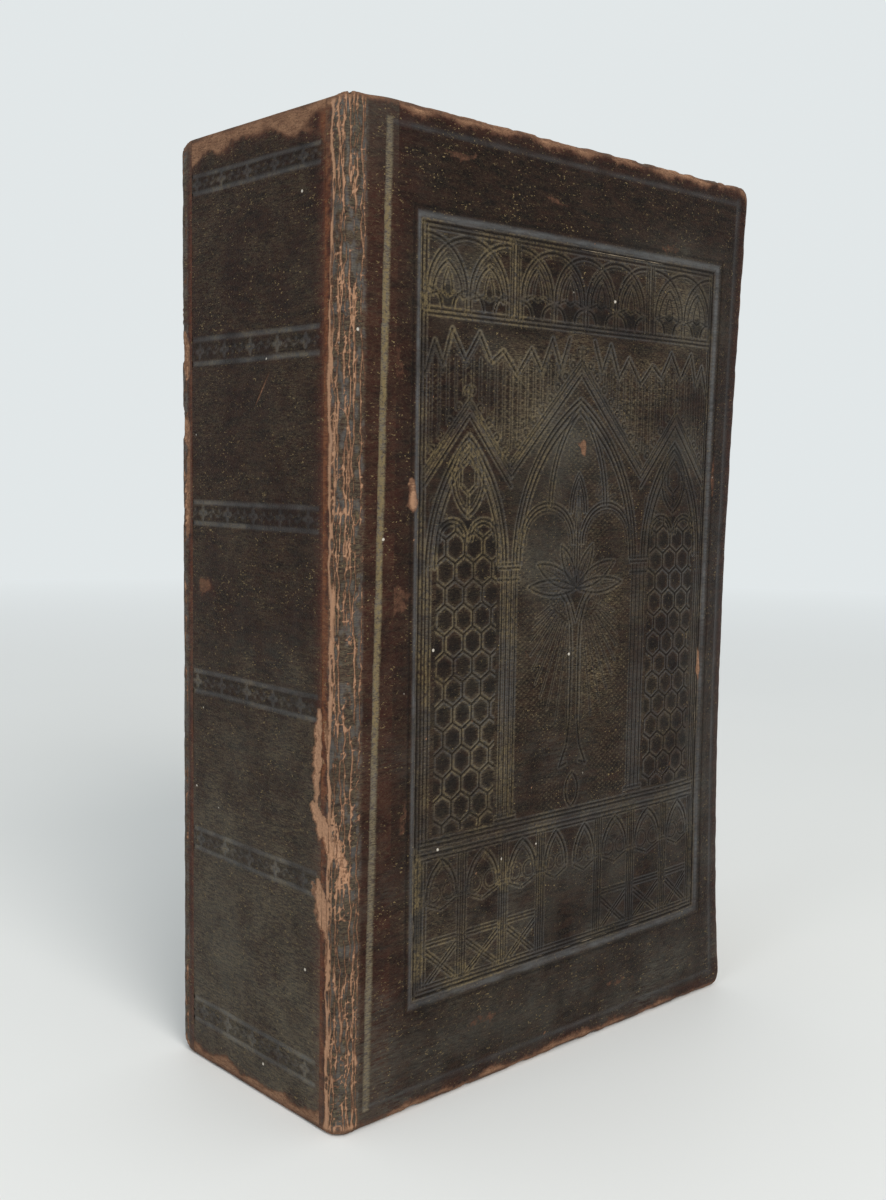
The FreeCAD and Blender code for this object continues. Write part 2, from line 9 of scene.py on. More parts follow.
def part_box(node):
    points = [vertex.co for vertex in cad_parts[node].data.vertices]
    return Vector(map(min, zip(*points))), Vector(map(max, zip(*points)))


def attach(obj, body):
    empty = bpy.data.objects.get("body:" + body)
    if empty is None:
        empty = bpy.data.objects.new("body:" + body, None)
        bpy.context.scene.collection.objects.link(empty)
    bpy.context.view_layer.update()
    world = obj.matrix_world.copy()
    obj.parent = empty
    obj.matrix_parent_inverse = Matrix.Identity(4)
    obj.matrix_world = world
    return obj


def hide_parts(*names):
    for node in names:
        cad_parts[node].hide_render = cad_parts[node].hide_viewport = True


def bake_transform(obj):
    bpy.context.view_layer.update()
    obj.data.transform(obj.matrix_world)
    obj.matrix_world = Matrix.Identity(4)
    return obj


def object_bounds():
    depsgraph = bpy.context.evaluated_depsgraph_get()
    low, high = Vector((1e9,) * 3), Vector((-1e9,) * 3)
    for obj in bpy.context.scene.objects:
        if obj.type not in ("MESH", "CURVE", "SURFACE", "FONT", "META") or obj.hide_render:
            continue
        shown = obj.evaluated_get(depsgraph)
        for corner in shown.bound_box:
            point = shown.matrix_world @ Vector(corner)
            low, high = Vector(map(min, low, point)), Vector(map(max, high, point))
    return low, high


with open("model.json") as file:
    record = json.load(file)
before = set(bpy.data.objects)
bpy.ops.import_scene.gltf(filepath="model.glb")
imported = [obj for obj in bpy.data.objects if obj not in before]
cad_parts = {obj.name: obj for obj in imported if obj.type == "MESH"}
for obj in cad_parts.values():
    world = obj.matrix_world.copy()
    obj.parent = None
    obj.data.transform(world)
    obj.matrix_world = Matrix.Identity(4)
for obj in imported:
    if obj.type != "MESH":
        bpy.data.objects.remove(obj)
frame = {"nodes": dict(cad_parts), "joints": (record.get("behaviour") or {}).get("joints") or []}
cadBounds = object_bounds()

# Sizes in the dictionaries are millimetres. Points are turned into metres when a mesh is made.
mm = 0.001
spineX, frontY, tailZ = (v / mm for v in cadBounds[0])
foreX, backY, headZ = (v / mm for v in cadBounds[1])
bookHeight = headZ - tailZ
hinges = {j["name"]: j["pos_m"] for j in frame["joints"]}
hingeX = hinges["front_cover_hinge"][0] / mm
cornerRadius = hingeX - spineX
cornerArc = cornerRadius * math.pi / 2

warp = {"bow": 3.6, "zone": 31.0, "lean": 0.75}
cover = {
    "thickness": 4.5, "edgeRound": 1.3, "innerRound": 0.7, "cornerRound": 3.5,
    "turnIn": 8.0, "step": 0.8, "fray": 0.30,
}
panel = {
    "left": 18.3, "right": 118.0, "tail": 21.4, "head": 184.6,
    "rim": 1.8, "shoulder": 2.0, "depth": 0.55, "step": 0.27,
    "tailCut": 54.0, "headCut": 118.0, "margin": 1.5,
    "lineDepth": 0.20, "lipHeight": 0.06, "paneDepth": 0.05,
}
border = {"jointHead": 11.3, "jointTail": 7.6, "edge": 4.4, "width": 0.86, "depth": 0.16}
jointStrip = {
    "spineReach": 3.0, "coverReach": 10.5, "step": 0.24, "backStep": 0.5, "blend": 1.5,
    "gutter": 0.18, "crackDepth": 0.26, "plateHeight": 0.07, "tearDepth": 0.34,
}
bands = {
    "tails": (8.2, 47.9, 83.5, 120.7, 155.1, 191.1),
    "heads": (13.9, 53.2, 88.9, 126.1, 161.1, 195.9),
}


def smoothNoise(u, v, cell, seed, octaves=1):
    # value noise of about -1 to 1: seeded lattice values, blended from corner to corner by 3t^2 - 2t^3
    total = 0.0
    for octave in range(octaves):
        lattice = np.random.default_rng(seed + octave).random((256, 256))
        size = cell / 2 ** octave
        a, b = u / size + 300.5, v / size + 300.5
        i, j = np.floor(a).astype(int), np.floor(b).astype(int)
        fa, fb = a - i, b - j
        fa, fb = fa * fa * (3 - 2 * fa), fb * fb * (3 - 2 * fb)
        i, j, k, m = i % 256, j % 256, (i + 1) % 256, (j + 1) % 256
        near = lattice[i, j] * (1 - fa) + lattice[k, j] * fa
        far = lattice[i, m] * (1 - fa) + lattice[k, m] * fa
        total = total + (near * (1 - fb) + far * fb - 0.5) * 2 / 2 ** octave
    return total


def ramp(value, start, end):
    # 0 before start, 1 after end, and 3t^2 - 2t^3 between them
    t = np.clip((value - start) / (end - start), 0, 1)
    return t * t * (3 - 2 * t)


def patches(u, v, cell, seed, octaves=1):
    # the same noise, about 0 to 1
    return 0.5 + 0.5 * smoothNoise(u, v, cell, seed, octaves)


def noiseAlong(z, cell, seed, octaves=1):
    # noise that changes along one way only
    return smoothNoise(z, 0 * z, cell, seed, octaves)


def bell(distance, width):
    # 1 at no distance, falling off as exp(-(distance / width)^2)
    return np.exp(-(distance / width) ** 2)


def slopeOf(amount):
    # 4t(1 - t): 1 half way up a slope, 0 at its foot and at its top
    return np.clip(4 * amount * (1 - amount), 0, 1)


def makeMesh(name, points, faces, layers, material):
    # one mesh from an array of points in millimetres and an array of four-sided faces
    mesh = bpy.data.meshes.new(name)
    mesh.vertices.add(len(points))
    mesh.vertices.foreach_set("co", (points * mm).astype(np.float32).ravel())
    mesh.loops.add(faces.size)
    mesh.loops.foreach_set("vertex_index", faces.astype(np.int32).ravel())
    mesh.polygons.add(len(faces))
    mesh.polygons.foreach_set("loop_start", np.arange(0, faces.size, 4, dtype=np.int32))
    mesh.polygons.foreach_set("use_smooth", np.ones(len(faces), dtype=bool))
    for layer, values in layers.items():
        values = np.asarray(values, dtype=np.float32)
        kind, field = ("FLOAT_VECTOR", "vector") if values.shape[-1] == 3 else ("FLOAT", "value")
        attribute = mesh.attributes.new(layer, kind, "POINT")
        attribute.data.foreach_set(field, values.ravel())
    mesh.update(calc_edges=True)
    mesh.validate()
    mesh.materials.append(material)
    piece = bpy.data.objects.new(name, mesh)
    bpy.context.collection.objects.link(piece)
    return piece


def gridFaces(rows, columns, flip=False):
    # the four corners of every cell of a grid that is numbered row by row
    index = np.arange(rows * columns).reshape(rows, columns)
    faces = np.stack([index[:-1, :-1], index[:-1, 1:], index[1:, 1:], index[1:, :-1]], -1).reshape(-1, 4)
    return faces[:, ::-1] if flip else faces


def bowAt(x, z):
    # how far the warped board lies inward: across squared times a half wave up the fore-edge
    across = np.clip((x - (foreX - warp["zone"])) / warp["zone"], 0, None)
    up = np.clip((z - tailZ) / bookHeight, 0, 1)
    return warp["bow"] * across ** 2 * np.sin(np.pi * up ** warp["lean"])


def coverPoints(x, z, depth, side):
    # side -1 is the front cover and +1 the back cover, and depth goes into the cover
    y = frontY + depth + bowAt(x, z)
    return np.stack([x, -side * y, z], -1)


def emptySheet(x, z):
    # a flat sheet of leather: groove and lip hold the stamped lines, and pane the dark hollows
    shape = (len(z), len(x))
    return {"x": x, "z": z, "groove": np.zeros(shape), "lip": np.zeros(shape), "pane": np.zeros(shape)}


def pressLine(sheet, window, distance, width, strength):
    # a round groove with a low lip on each side, kept where it is stronger than what is there
    groove = strength * bell(distance, 0.55 * width)
    lip = strength * bell(distance - 1.25 * width, 0.5 * width)
    sheet["groove"][window] = np.maximum(sheet["groove"][window], groove)
    sheet["lip"][window] = np.maximum(sheet["lip"][window], lip)


def windowOf(sheet, x1, x2, z1, z2, margin):
    # the part of the sheet that a line can reach, so that the rest isn't worked out
    columns = np.searchsorted(sheet["x"], [min(x1, x2) - margin, max(x1, x2) + margin])
    rows = np.searchsorted(sheet["z"], [min(z1, z2) - margin, max(z1, z2) + margin])
    window = (slice(*rows), slice(*columns))
    x, z = np.meshgrid(sheet["x"][window[1]], sheet["z"][window[0]])
    return window, x, z


def stroke(sheet, points, width=0.42, strength=1.0):
    # distance to each straight stretch of a run of points
    for (x1, z1), (x2, z2) in zip(points, points[1:]):
        window, x, z = windowOf(sheet, x1, x2, z1, z2, 3 * width)
        dx, dz = x2 - x1, z2 - z1
        along = np.clip(((x - x1) * dx + (z - z1) * dz) / (dx * dx + dz * dz), 0, 1)
        pressLine(sheet, window, np.hypot(x - x1 - along * dx, z - z1 - along * dz), width, strength)


def arcStroke(sheet, x0, z0, radius, start, end, width=0.42, strength=1.0):
    # distance to part of a circle, which ends softly at its two angles
    angles = np.radians(np.linspace(start, end, 9))
    xs, zs = x0 + radius * np.cos(angles), z0 + radius * np.sin(angles)
    window, x, z = windowOf(sheet, xs.min(), xs.max(), zs.min(), zs.max(), 3 * width)
    angle = np.degrees(np.arctan2(z - z0, x - x0))
    middle = (start + end) / 2
    off = np.abs((angle - middle + 180) % 360 - 180) - (end - start) / 2
    beyond = np.radians(np.clip(off, 0, 180)) * radius
    pressLine(sheet, window, np.hypot(np.hypot(x - x0, z - z0) - radius, beyond), width, strength)


def sink(sheet, x0, z0, radius):
    # a small dark hollow, 1 inside the circle and 0 outside it
    window, x, z = windowOf(sheet, x0, x0, z0, z0, radius + 0.6)
    hollow = 1 - ramp(np.hypot(x - x0, z - z0), radius - 0.35, radius + 0.2)
    sheet["pane"][window] = np.maximum(sheet["pane"][window], hollow)


def uprightLine(sheet, x, low, high, width=0.3, strength=1.0):
    stroke(sheet, [(x, low), (x, high)], width, strength)


def levelLine(sheet, left, right, z, width=0.3):
    stroke(sheet, [(left, z), (right, z)], width)


def outline(sheet, left, low, right, high, width):
    stroke(sheet, [(left, low), (left, high), (right, high), (right, low), (left, low)], width)


def ray(sheet, x, z, degrees, start, end, width, strength):
    # a straight line that points away from x, z
    a = math.radians(degrees)
    stroke(sheet, [(x + r * math.cos(a), z + r * math.sin(a)) for r in (start, end)], width, strength)


def bothSides(sheet, x, z, run, width, strength=1.0):
    # a run of points counted from x, z, drawn to the left and to the right
    for side in (-1, 1):
        stroke(sheet, [(x + side * dx, z + dz) for dx, dz in run], width, strength)


def pointedArch(sheet, x, z, half, rise, width=0.42, strength=1.0, below=0):
    # two arcs that rise upright from the springing line and meet in a point, and also below it if asked
    offset = (rise ** 2 - half ** 2) / (2 * half)
    radius = half + offset
    meet = math.degrees(math.asin(min(1.0, rise / radius)))
    arcStroke(sheet, x + offset, z, radius, 180 - meet, 180 + below * meet, width, strength)
    arcStroke(sheet, x - offset, z, radius, -below * meet, meet, width, strength)


def pointedOval(sheet, x, z, half, rise, width=0.42, strength=1.0):
    pointedArch(sheet, x, z, half, rise, width, strength, 1)


tracery = {
    "friezeHeight": 15.8, "columnWidth": 3.4, "friezeBays": (2, 4, 2), "friezePitch": (11.7, 10.35, 10.9),
    "baseHeight": 29.2, "moulding": 2.6, "sideBay": 25.0, "uprightPitch": 2.3,
    "springing": 57.2, "sideRise": 27.0, "sideGableFoot": 77.0, "sideGableTop": 91.6,
    "centreRise": 36.0, "centreGableFoot": 79.0, "centreGableTop": 101.8,
    "paneWidth": 5.35, "paneRow": 5.0, "shaftCluster": 2.1,
    "crossHeight": 51.0, "capital": 57.2, "sill": 9.5, "smallCapital": 19.0, "fieldInset": 1.4,
}

# the box that the pattern fills, counted from the spine's outer face, and the lines that divide it
fieldInset = panel["rim"] + tracery["fieldInset"]
fieldLeft, fieldRight = spineX + panel["left"] + fieldInset, spineX + panel["right"] - fieldInset
fieldTail, fieldHead = panel["tail"] + fieldInset, panel["head"] - fieldInset
fieldCentre = (fieldLeft + fieldRight) / 2
sideHalf = tracery["sideBay"] / 2
centreHalf = fieldCentre - fieldLeft - tracery["sideBay"]
windowFloor = fieldTail + tracery["baseHeight"] + tracery["moulding"]


def drawUprights(sheet):
    # close upright lines with a dot between them, from the zigzag down to whichever gable lies below
    t = tracery
    top = fieldHead - t["friezeHeight"] - 9.0
    gables = ((fieldLeft + sideHalf, sideHalf, t["sideGableFoot"], t["sideGableTop"]),
              (fieldRight - sideHalf, sideHalf, t["sideGableFoot"], t["sideGableTop"]),
              (fieldCentre, centreHalf, t["centreGableFoot"], t["centreGableTop"]))
    for i, x in enumerate(np.arange(fieldLeft + 1.6, fieldRight - 1, t["uprightPitch"])):
        under = 3.2 + max(windowFloor + foot + (peak - foot) * (1 - abs(x - cx) / half)
                          for cx, half, foot, peak in gables)
        if top - under < 2:
            continue
        uprightLine(sheet, x, under, top, 0.30, 0.55)
        for z in np.arange(under + 1.5 + 0.8 * (i % 2), top - 1, 1.7):
            sink(sheet, x + t["uprightPitch"] / 2, z, 0.45)


def drawFrieze(sheet):
    # interlaced half circles on stems, each bay with a small cusped light under it
    t = tracery
    floor = fieldHead - t["friezeHeight"]
    for z in (floor, floor - 0.9):
        levelLine(sheet, fieldLeft, fieldRight, z, 0.4)
    x = fieldLeft
    for group, (bays, bay) in enumerate(zip(t["friezeBays"], t["friezePitch"])):
        friezeGroup(sheet, x, bay, bays, floor)
        x += bays * bay
        if group < 2:
            for shift in (0.5, 1.2, t["columnWidth"] - 1.2, t["columnWidth"] - 0.5):
                uprightLine(sheet, x + shift, floor, fieldHead)
            x += t["columnWidth"]


def friezeGroup(sheet, left, bay, bays, floor):
    # a run of bays: each half circle spans two of them, and those at the ends are cut to a quarter
    radius = bay - 0.4
    spring = fieldHead - 1.0 - radius
    for i in range(bays + 1):
        x = left + i * bay
        start = 0 if i < bays else 90
        end = 180 if i > 0 else 90
        arcStroke(sheet, x, spring, radius, start, end, 0.4)
        arcStroke(sheet, x, spring, radius - 0.9, start, end, 0.26, 0.5)
        for shift in (-0.55, 0.55):
            uprightLine(sheet, x + shift, floor, spring - 1)
    for i in range(bays):
        x = left + (i + 0.5) * bay
        half = bay / 2 - 1.2
        pointedArch(sheet, x, spring - 0.6, half - 0.6, 7.0, 0.34)
        pointedArch(sheet, x, spring + 0.2, 1.3, 4.6, 0.28)
        bothSides(sheet, x, spring, ((0, -0.6), (1.6, 0.2), (half, -0.6)), 0.3)
        for dx, dz in ((-1.2, 2.3), (1.2, 2.3), (0, 3.8)):
            sink(sheet, x + dx, floor + dz, 1.45)
        sink(sheet, x, floor + 1.2, 0.8)
        arcStroke(sheet, x - half - 0.6, floor + 0.6, half - 1.0, 0, 85, 0.34)
        arcStroke(sheet, x + half + 0.6, floor + 0.6, half - 1.0, 95, 180, 0.34)


# each small gable of the zigzag: distance from the field's side and drop below its highest peak
pinnacles = ((2.5, 3.2), (7.2, 0.6), (15.0, 0.8), (22.0, 4.0), (30.5, 3.0), (37.0, 0.4), (42.5, 0.0))


def drawPinnacles(sheet):
    # an uneven zigzag of small gables, drawn twice, from each side to the middle
    top = fieldHead - tracery["friezeHeight"] - 3.0
    half = fieldCentre - fieldLeft
    run = [(half, -10.0)]
    for (at, drop), after in zip(pinnacles, pinnacles[1:]):
        run.append((half - at, -drop))
        run.append((half - (at + after[0]) / 2, -max(drop, 2.0) - 4.6))
    at, drop = pinnacles[-1]
    run.append((half - at, -drop))
    bothSides(sheet, fieldCentre, top, run, 0.42)
    bothSides(sheet, fieldCentre, top - 1.3, run, 0.28, 0.5)


def drawGable(sheet, x, foot, top, half):
    # a raking moulding with leafy knobs along its upper side and a finial
    for drop in (0.0, 0.9, 3.2):
        bothSides(sheet, x, -drop, ((half, foot), (0, top)), 0.36)
    count = int(math.hypot(half, top - foot) / 3.4)
    for side in (-1, 1):
        for i in range(1, count):
            part = i / count
            px, pz = x + side * half * (1 - part), foot + (top - foot) * part
            arcStroke(sheet, px + side * 0.5, pz + 1.3, 0.6, 0, 360, 0.34, 0.8)
            uprightLine(sheet, px + side * 1.4, pz + 0.8, pz + 3.4, 0.26, 0.6)
        arcStroke(sheet, x + side * 0.8, top + 1.9, 0.6, 0, 360, 0.3, 0.8)
    uprightLine(sheet, x, top, top + 2.6, 0.4)


def drawPanes(sheet, left, right, low, high):
    # distance to the nearest edge of a net of six-sided panes, the nearer of two rows of centres
    window, x, z = windowOf(sheet, left, right, low, high, 0)
    width, row = tracery["paneWidth"], tracery["paneRow"]
    tall = row / (width * math.sqrt(3) / 2)
    best = np.full(x.shape, width)
    for shift in (0, 1):
        k = np.round(((z - low) / row - shift) / 2) * 2 + shift
        cx = left + (np.round((x - left) / width - shift / 2) + shift / 2) * width
        dx, dz = x - cx, (z - low - k * row) / tall
        edge = np.maximum(np.abs(dx), np.abs(dx) / 2 + np.abs(dz) * math.sqrt(3) / 2)
        best = np.minimum(best, edge)
    pressLine(sheet, window, width / 2 - best, 0.34, 1.0)
    pane = ramp(width / 2 - best, 0.7, 1.6)
    sheet["pane"][window] = np.maximum(sheet["pane"][window], pane)


def drawShafts(sheet, x):
    # a cluster of slender columns with a capital and a moulded base
    half = tracery["shaftCluster"]
    top = windowFloor + tracery["capital"]
    for shift in (-half, -half / 3, half / 3, half):
        uprightLine(sheet, x + shift, windowFloor + 2, top - 1.5)
    for z in (top, top - 0.9, top - 3.4, windowFloor + 2.0, windowFloor + 1.1):
        levelLine(sheet, x - half - 0.9, x + half + 0.9, z, 0.34)


def drawSideWindow(sheet, x, half):
    # nested arches over two round-headed lights, a pointed oval and honeycomb glazing
    z = windowFloor + tracery["springing"]
    for inset, width in ((0.0, 0.46), (0.9, 0.38), (2.3, 0.38)):
        pointedArch(sheet, x, z, half - inset, tracery["sideRise"] - 1.6 * inset, width)
    light = half - 2.4
    for side in (-1, 1):
        for inset in (0.0, 0.9):
            arcStroke(sheet, x + side * light / 2, z + 5.5, light / 2 - 0.3 - inset, 0, 180, 0.34)
        uprightLine(sheet, x + side * (light - 0.2), z, z + 5.5)
        for dx, dz, radius, strength in ((6.2, 13.5, 3.0, 0.6), (7.2, 12.5, 3.4, 0.5)):
            arcStroke(sheet, x + side * dx, z + dz, radius, 90 - side * 60, 210 - side * 60, 0.3, strength)
    pointedOval(sheet, x, z + 18.0, 4.4, 7.6, 0.38)
    pointedOval(sheet, x, z + 18.0, 3.5, 6.4, 0.28, 0.7)
    bothSides(sheet, x, z, ((0, 22.2), (2.2, 20.2), (2.2, 16.8), (0, 15.0)), 0.34)
    uprightLine(sheet, x, z + 12.0, z + 15.0)
    drawPanes(sheet, x - light + 0.3, x + light - 0.3, windowFloor + 1.2, z + 9.5)


def drawLeaf(sheet, x, z, angle, length, width, veins=5):
    # a lens of two arcs with a midrib and slanting veins, turned about its foot
    half, a = length / 2, math.radians(angle)
    radius = (half ** 2 + (width / 2) ** 2) / width
    reach = math.degrees(math.asin(half / radius))
    drop = radius - width / 2
    cx, cz = x + half * math.cos(a), z + half * math.sin(a)
    ray(sheet, x, z, angle, 0, length, 0.26, 0.7)
    for side in (-1, 1):
        ox, oz = side * drop * math.sin(a), -side * drop * math.cos(a)
        middle = angle + side * 90
        arcStroke(sheet, cx + ox, cz + oz, radius, middle - reach, middle + reach, 0.36)
        for i in range(1, veins + 1):
            part = i / (veins + 1)
            px, pz = x + length * part * math.cos(a), z + length * part * math.sin(a)
            veinLength = 1.5 * (0.4 * width * math.sin(math.pi * part) + 0.2)
            ray(sheet, px, pz, angle + side * math.degrees(0.7), 0, veinLength, 0.2, 0.5)


def drawCross(sheet, x):
    # a staff that spreads into leaves, with rays that hang below them and a spear foot
    z = windowFloor + tracery["crossHeight"]
    for angle, length, width in ((3, 15.5, 3.4), (24, 14.0, 3.8), (62, 11.0, 3.0)):
        drawLeaf(sheet, x, z, angle, length, width)
        drawLeaf(sheet, x, z, 180 - angle, length, width)
    uprightLine(sheet, x, z, z + 20)
    bothSides(sheet, x, z, ((0.7, 0), (0.9, 12), (0, 22)), 0.3, 0.8)
    bothSides(sheet, x, z, ((5.4, -1.0), (3.2, -3.2), (1.6, -8.0), (1.2, -14), (1.3, -30), (2.2, -36),
                            (4.4, -40.6), (2.2, -40.0)), 0.36)
    bothSides(sheet, x, z, ((3.6, -0.6), (1.6, -3.6), (0, -7.5)), 0.34)
    bothSides(sheet, x, z, ((2.4, -12), (2.3, -33)), 0.24, 0.6)
    for side in (-1, 1):
        for i in range(5):
            ray(sheet, x, z, 90 - side * (14 + 13 * i), 3, 11, 0.22, 0.5)
        for i in range(9):
            ray(sheet, x + side * 1.2, z, -90 + side * (9 + 6.8 * i), 8, 30 - 2.1 * i, 0.24, 0.7)
        for i in range(3):
            arcStroke(sheet, x + side * (3.0 + 2.2 * i), z - 5.0 + 1.2 * i, 1.0, 0, 360, 0.26, 0.6)
    pointedOval(sheet, x, windowFloor + 4.6, 2.1, 4.0, 0.36)


def drawCentreWindow(sheet, x):
    # nested arches over two round-headed lights, a small niche, rays and the cross
    z = windowFloor + tracery["springing"]
    half = centreHalf - 1.3
    for inset in (0.0, 0.9, 2.0):
        pointedArch(sheet, x, z, half - inset, tracery["centreRise"] - 1.5 * inset, 0.4)
    for inset in (0.0, 1.0):
        pointedArch(sheet, x, z + 12.5, 9.6 - inset, 22.5 - 1.4 * inset, 0.34)
    for inset in (0.0, 0.8):
        pointedArch(sheet, x, z + 11.0, 2.8 - inset, 8.6 - 1.6 * inset, 0.3)
    light = (half - 1.6) / 2
    for side in (-1, 1):
        for inset, strength in ((0.0, 1.0), (0.9, 1.0), (1.7, 0.5)):
            arcStroke(sheet, x + side * (light + 0.4), z + 4.0, light - 0.4 - inset, 0, 180, 0.34, strength)
        for i in range(4):
            ray(sheet, x + side * 5, z + 12, 90 - side * (20 + 16 * i), 3, 8, 0.22, 0.5)
    drawCross(sheet, x)


def drawArcade(sheet):
    # small arches on posts over crossed panels, and two more in the middle without them
    t = tracery
    low, top = fieldTail, fieldTail + t["baseHeight"] - 1.2
    capital, sill = low + t["smallCapital"], low + t["sill"]
    posts = [fieldLeft + 0.8] + [fieldLeft + sideHalf * share for share in (1, 2, 2.95)]
    for side in (-1, 1):
        for post in posts:
            x = fieldCentre + side * (fieldCentre - post)
            for shift in (-1.1, -0.35, 0.35, 1.1):
                uprightLine(sheet, x + shift, low + 0.6, top, 0.28)
            levelLine(sheet, x - 1.8, x + 1.8, capital, 0.34)
        for a, b in zip(posts, posts[1:]):
            x = fieldCentre + side * (fieldCentre - (a + b) / 2)
            half = (b - a) / 2 - 1.5
            drawArcadeHead(sheet, x, half, capital, top)
            for shift in (0.0, 0.8):
                levelLine(sheet, x - half, x + half, sill + shift)
            for inset in (0.0, 1.1):
                bothSides(sheet, x, 0, ((inset - half, low + 1.4), (half, sill - 0.8 - inset)), 0.3)
        half = (fieldCentre - posts[-1]) / 2
        drawArcadeHead(sheet, fieldCentre + side * half, half - 1.3, capital, top)
    for inset in (0.0, 0.9):
        outline(sheet, fieldLeft + inset, low + inset, fieldRight - inset, top + 1 - inset, 0.3)


def drawArcadeHead(sheet, x, half, capital, top):
    # two nested pointed arches over a pair of rings and a shallow V
    pointedArch(sheet, x, capital + 0.4, half, top - capital - 0.8, 0.38)
    pointedArch(sheet, x, capital + 0.4, half - 1.0, top - capital - 2.4, 0.28, 0.7)
    for side in (-1, 1):
        arcStroke(sheet, x + side * half * 0.5, capital + 1.4, half * 0.42, 0, 360, 0.28, 0.7)
    bothSides(sheet, x, capital, ((0, -2.4), (half, -0.6)), 0.3, 0.8)


def drawPanel(sheet):
    t = tracery
    for inset in (-1.0, 0.0):
        outline(sheet, fieldLeft + inset, fieldTail + inset, fieldRight - inset, fieldHead - inset, 0.36)
    for drop in (0.0, 0.9, 2.6):
        levelLine(sheet, fieldLeft, fieldRight, windowFloor - drop, 0.4)
    drawFrieze(sheet)
    drawPinnacles(sheet)
    drawUprights(sheet)
    for side in (-1, 1):
        x = fieldCentre + side * (centreHalf + sideHalf)
        drawSideWindow(sheet, x, sideHalf - 1.0)
        drawGable(sheet, x, windowFloor + t["sideGableFoot"], windowFloor + t["sideGableTop"], sideHalf)
        drawShafts(sheet, fieldCentre + side * centreHalf)
        for shift in (0.9, 2.0):
            outer = fieldCentre + side * (fieldCentre - fieldLeft - shift)
            uprightLine(sheet, outer, windowFloor, windowFloor + t["capital"])
    foot, top = windowFloor + t["centreGableFoot"], windowFloor + t["centreGableTop"]
    drawGable(sheet, fieldCentre, foot, top, centreHalf)
    drawCentreWindow(sheet, fieldCentre)
    drawArcade(sheet)


print("materials")


def plug(tree, node, values):
    # a socket is linked, and anything else is set as the value of the input
    for name, value in values.items():
        if isinstance(value, bpy.types.NodeSocket):
            tree.links.new(value, node.inputs[name])
        else:
            node.inputs[name].default_value = value


def addNode(tree, kind, values=None, **settings):
    node = tree.nodes.new(kind)
    for key, value in settings.items():
        setattr(node, key, value)
    plug(tree, node, values or {})
    return node


def newTree(name):
    material = bpy.data.materials.new(name)
    material.use_nodes = True
    tree = material.node_tree
    tree.nodes.clear()
    shader = addNode(tree, "ShaderNodeBsdfPrincipled")
    addNode(tree, "ShaderNodeOutputMaterial", {"Surface": shader.outputs[0]}, name="output")
    return material, tree, shader


def named(tree, name, output="Fac"):
    return addNode(tree, "ShaderNodeAttribute", attribute_name=name).outputs[output]


def scaled(tree, place, x, y, z):
    return addNode(tree, "ShaderNodeMapping", {0: place, 3: (x, y, z)}).outputs[0]


def objectPlace(tree):
    # the point's place on the object, in millimetres
    return scaled(tree, addNode(tree, "ShaderNodeTexCoord").outputs["Object"], 1000, 1000, 1000)


def noise(tree, place, size, detail=3.0, roughness=0.55):
    # size is that of the blotches, in the units of place
    values = {"Vector": place, "Scale": 1 / size, "Detail": detail, "Roughness": roughness}
    return addNode(tree, "ShaderNodeTexNoise", values).outputs[0]


def cells(tree, place, size, feature="DISTANCE_TO_EDGE"):
    values = {"Vector": place, "Scale": 1 / size}
    return addNode(tree, "ShaderNodeTexVoronoi", values, feature=feature).outputs[0]


def spread(tree, value, low, high, start=0.0, end=1.0):
    return addNode(tree, "ShaderNodeMapRange", {0: value, 1: low, 2: high, 3: start, 4: end}).outputs[0]


def calc(tree, operation, a, b=0.0, clamp=False):
    return addNode(tree, "ShaderNodeMath", {0: a, 1: b}, operation=operation, use_clamp=clamp).outputs[0]


def times(tree, a, b, clamp=False):
    return calc(tree, "MULTIPLY", a, b, clamp)


def plus(tree, a, b, clamp=False):
    return calc(tree, "ADD", a, b, clamp)


def blendColour(tree, factor, a, b):
    a, b = (v if isinstance(v, bpy.types.NodeSocket) else (*v, 1.0) for v in (a, b))
    return addNode(tree, "ShaderNodeMix", {0: factor, 6: a, 7: b}, data_type="RGBA").outputs[2]


def bump(tree, height, distance, strength=1.0, before=None):
    values = {"Height": height, "Distance": distance, "Strength": strength}
    if before is not None:
        values["Normal"] = before
    return addNode(tree, "ShaderNodeBump", values).outputs[0]


leather = {
    "dark": (0.0052, 0.0026, 0.0018), "brown": (0.0195, 0.0085, 0.0052),
    "red": (0.046, 0.0115, 0.0070), "rust": (0.150, 0.052, 0.022),
    "veil": (0.062, 0.058, 0.048), "paintedSheenGrey": (0.090, 0.092, 0.094),
    "worn": (0.31, 0.172, 0.100), "rubbed": (0.105, 0.050, 0.030), "suede": (0.40, 0.225, 0.135),
    "gold": (0.205, 0.150, 0.070), "ochre": (0.140, 0.108, 0.062),
    "speck": (0.55, 0.50, 0.43), "grimeAndShade": (0.0030, 0.0020, 0.0018),
    "roughness": 0.46, "grain": 0.62, "wrinkle": 2.6, "sheen": 0.09,
    "creaseDepth": 0.00004, "grainDepth": 0.00005, "fineDepth": 0.00008,
}


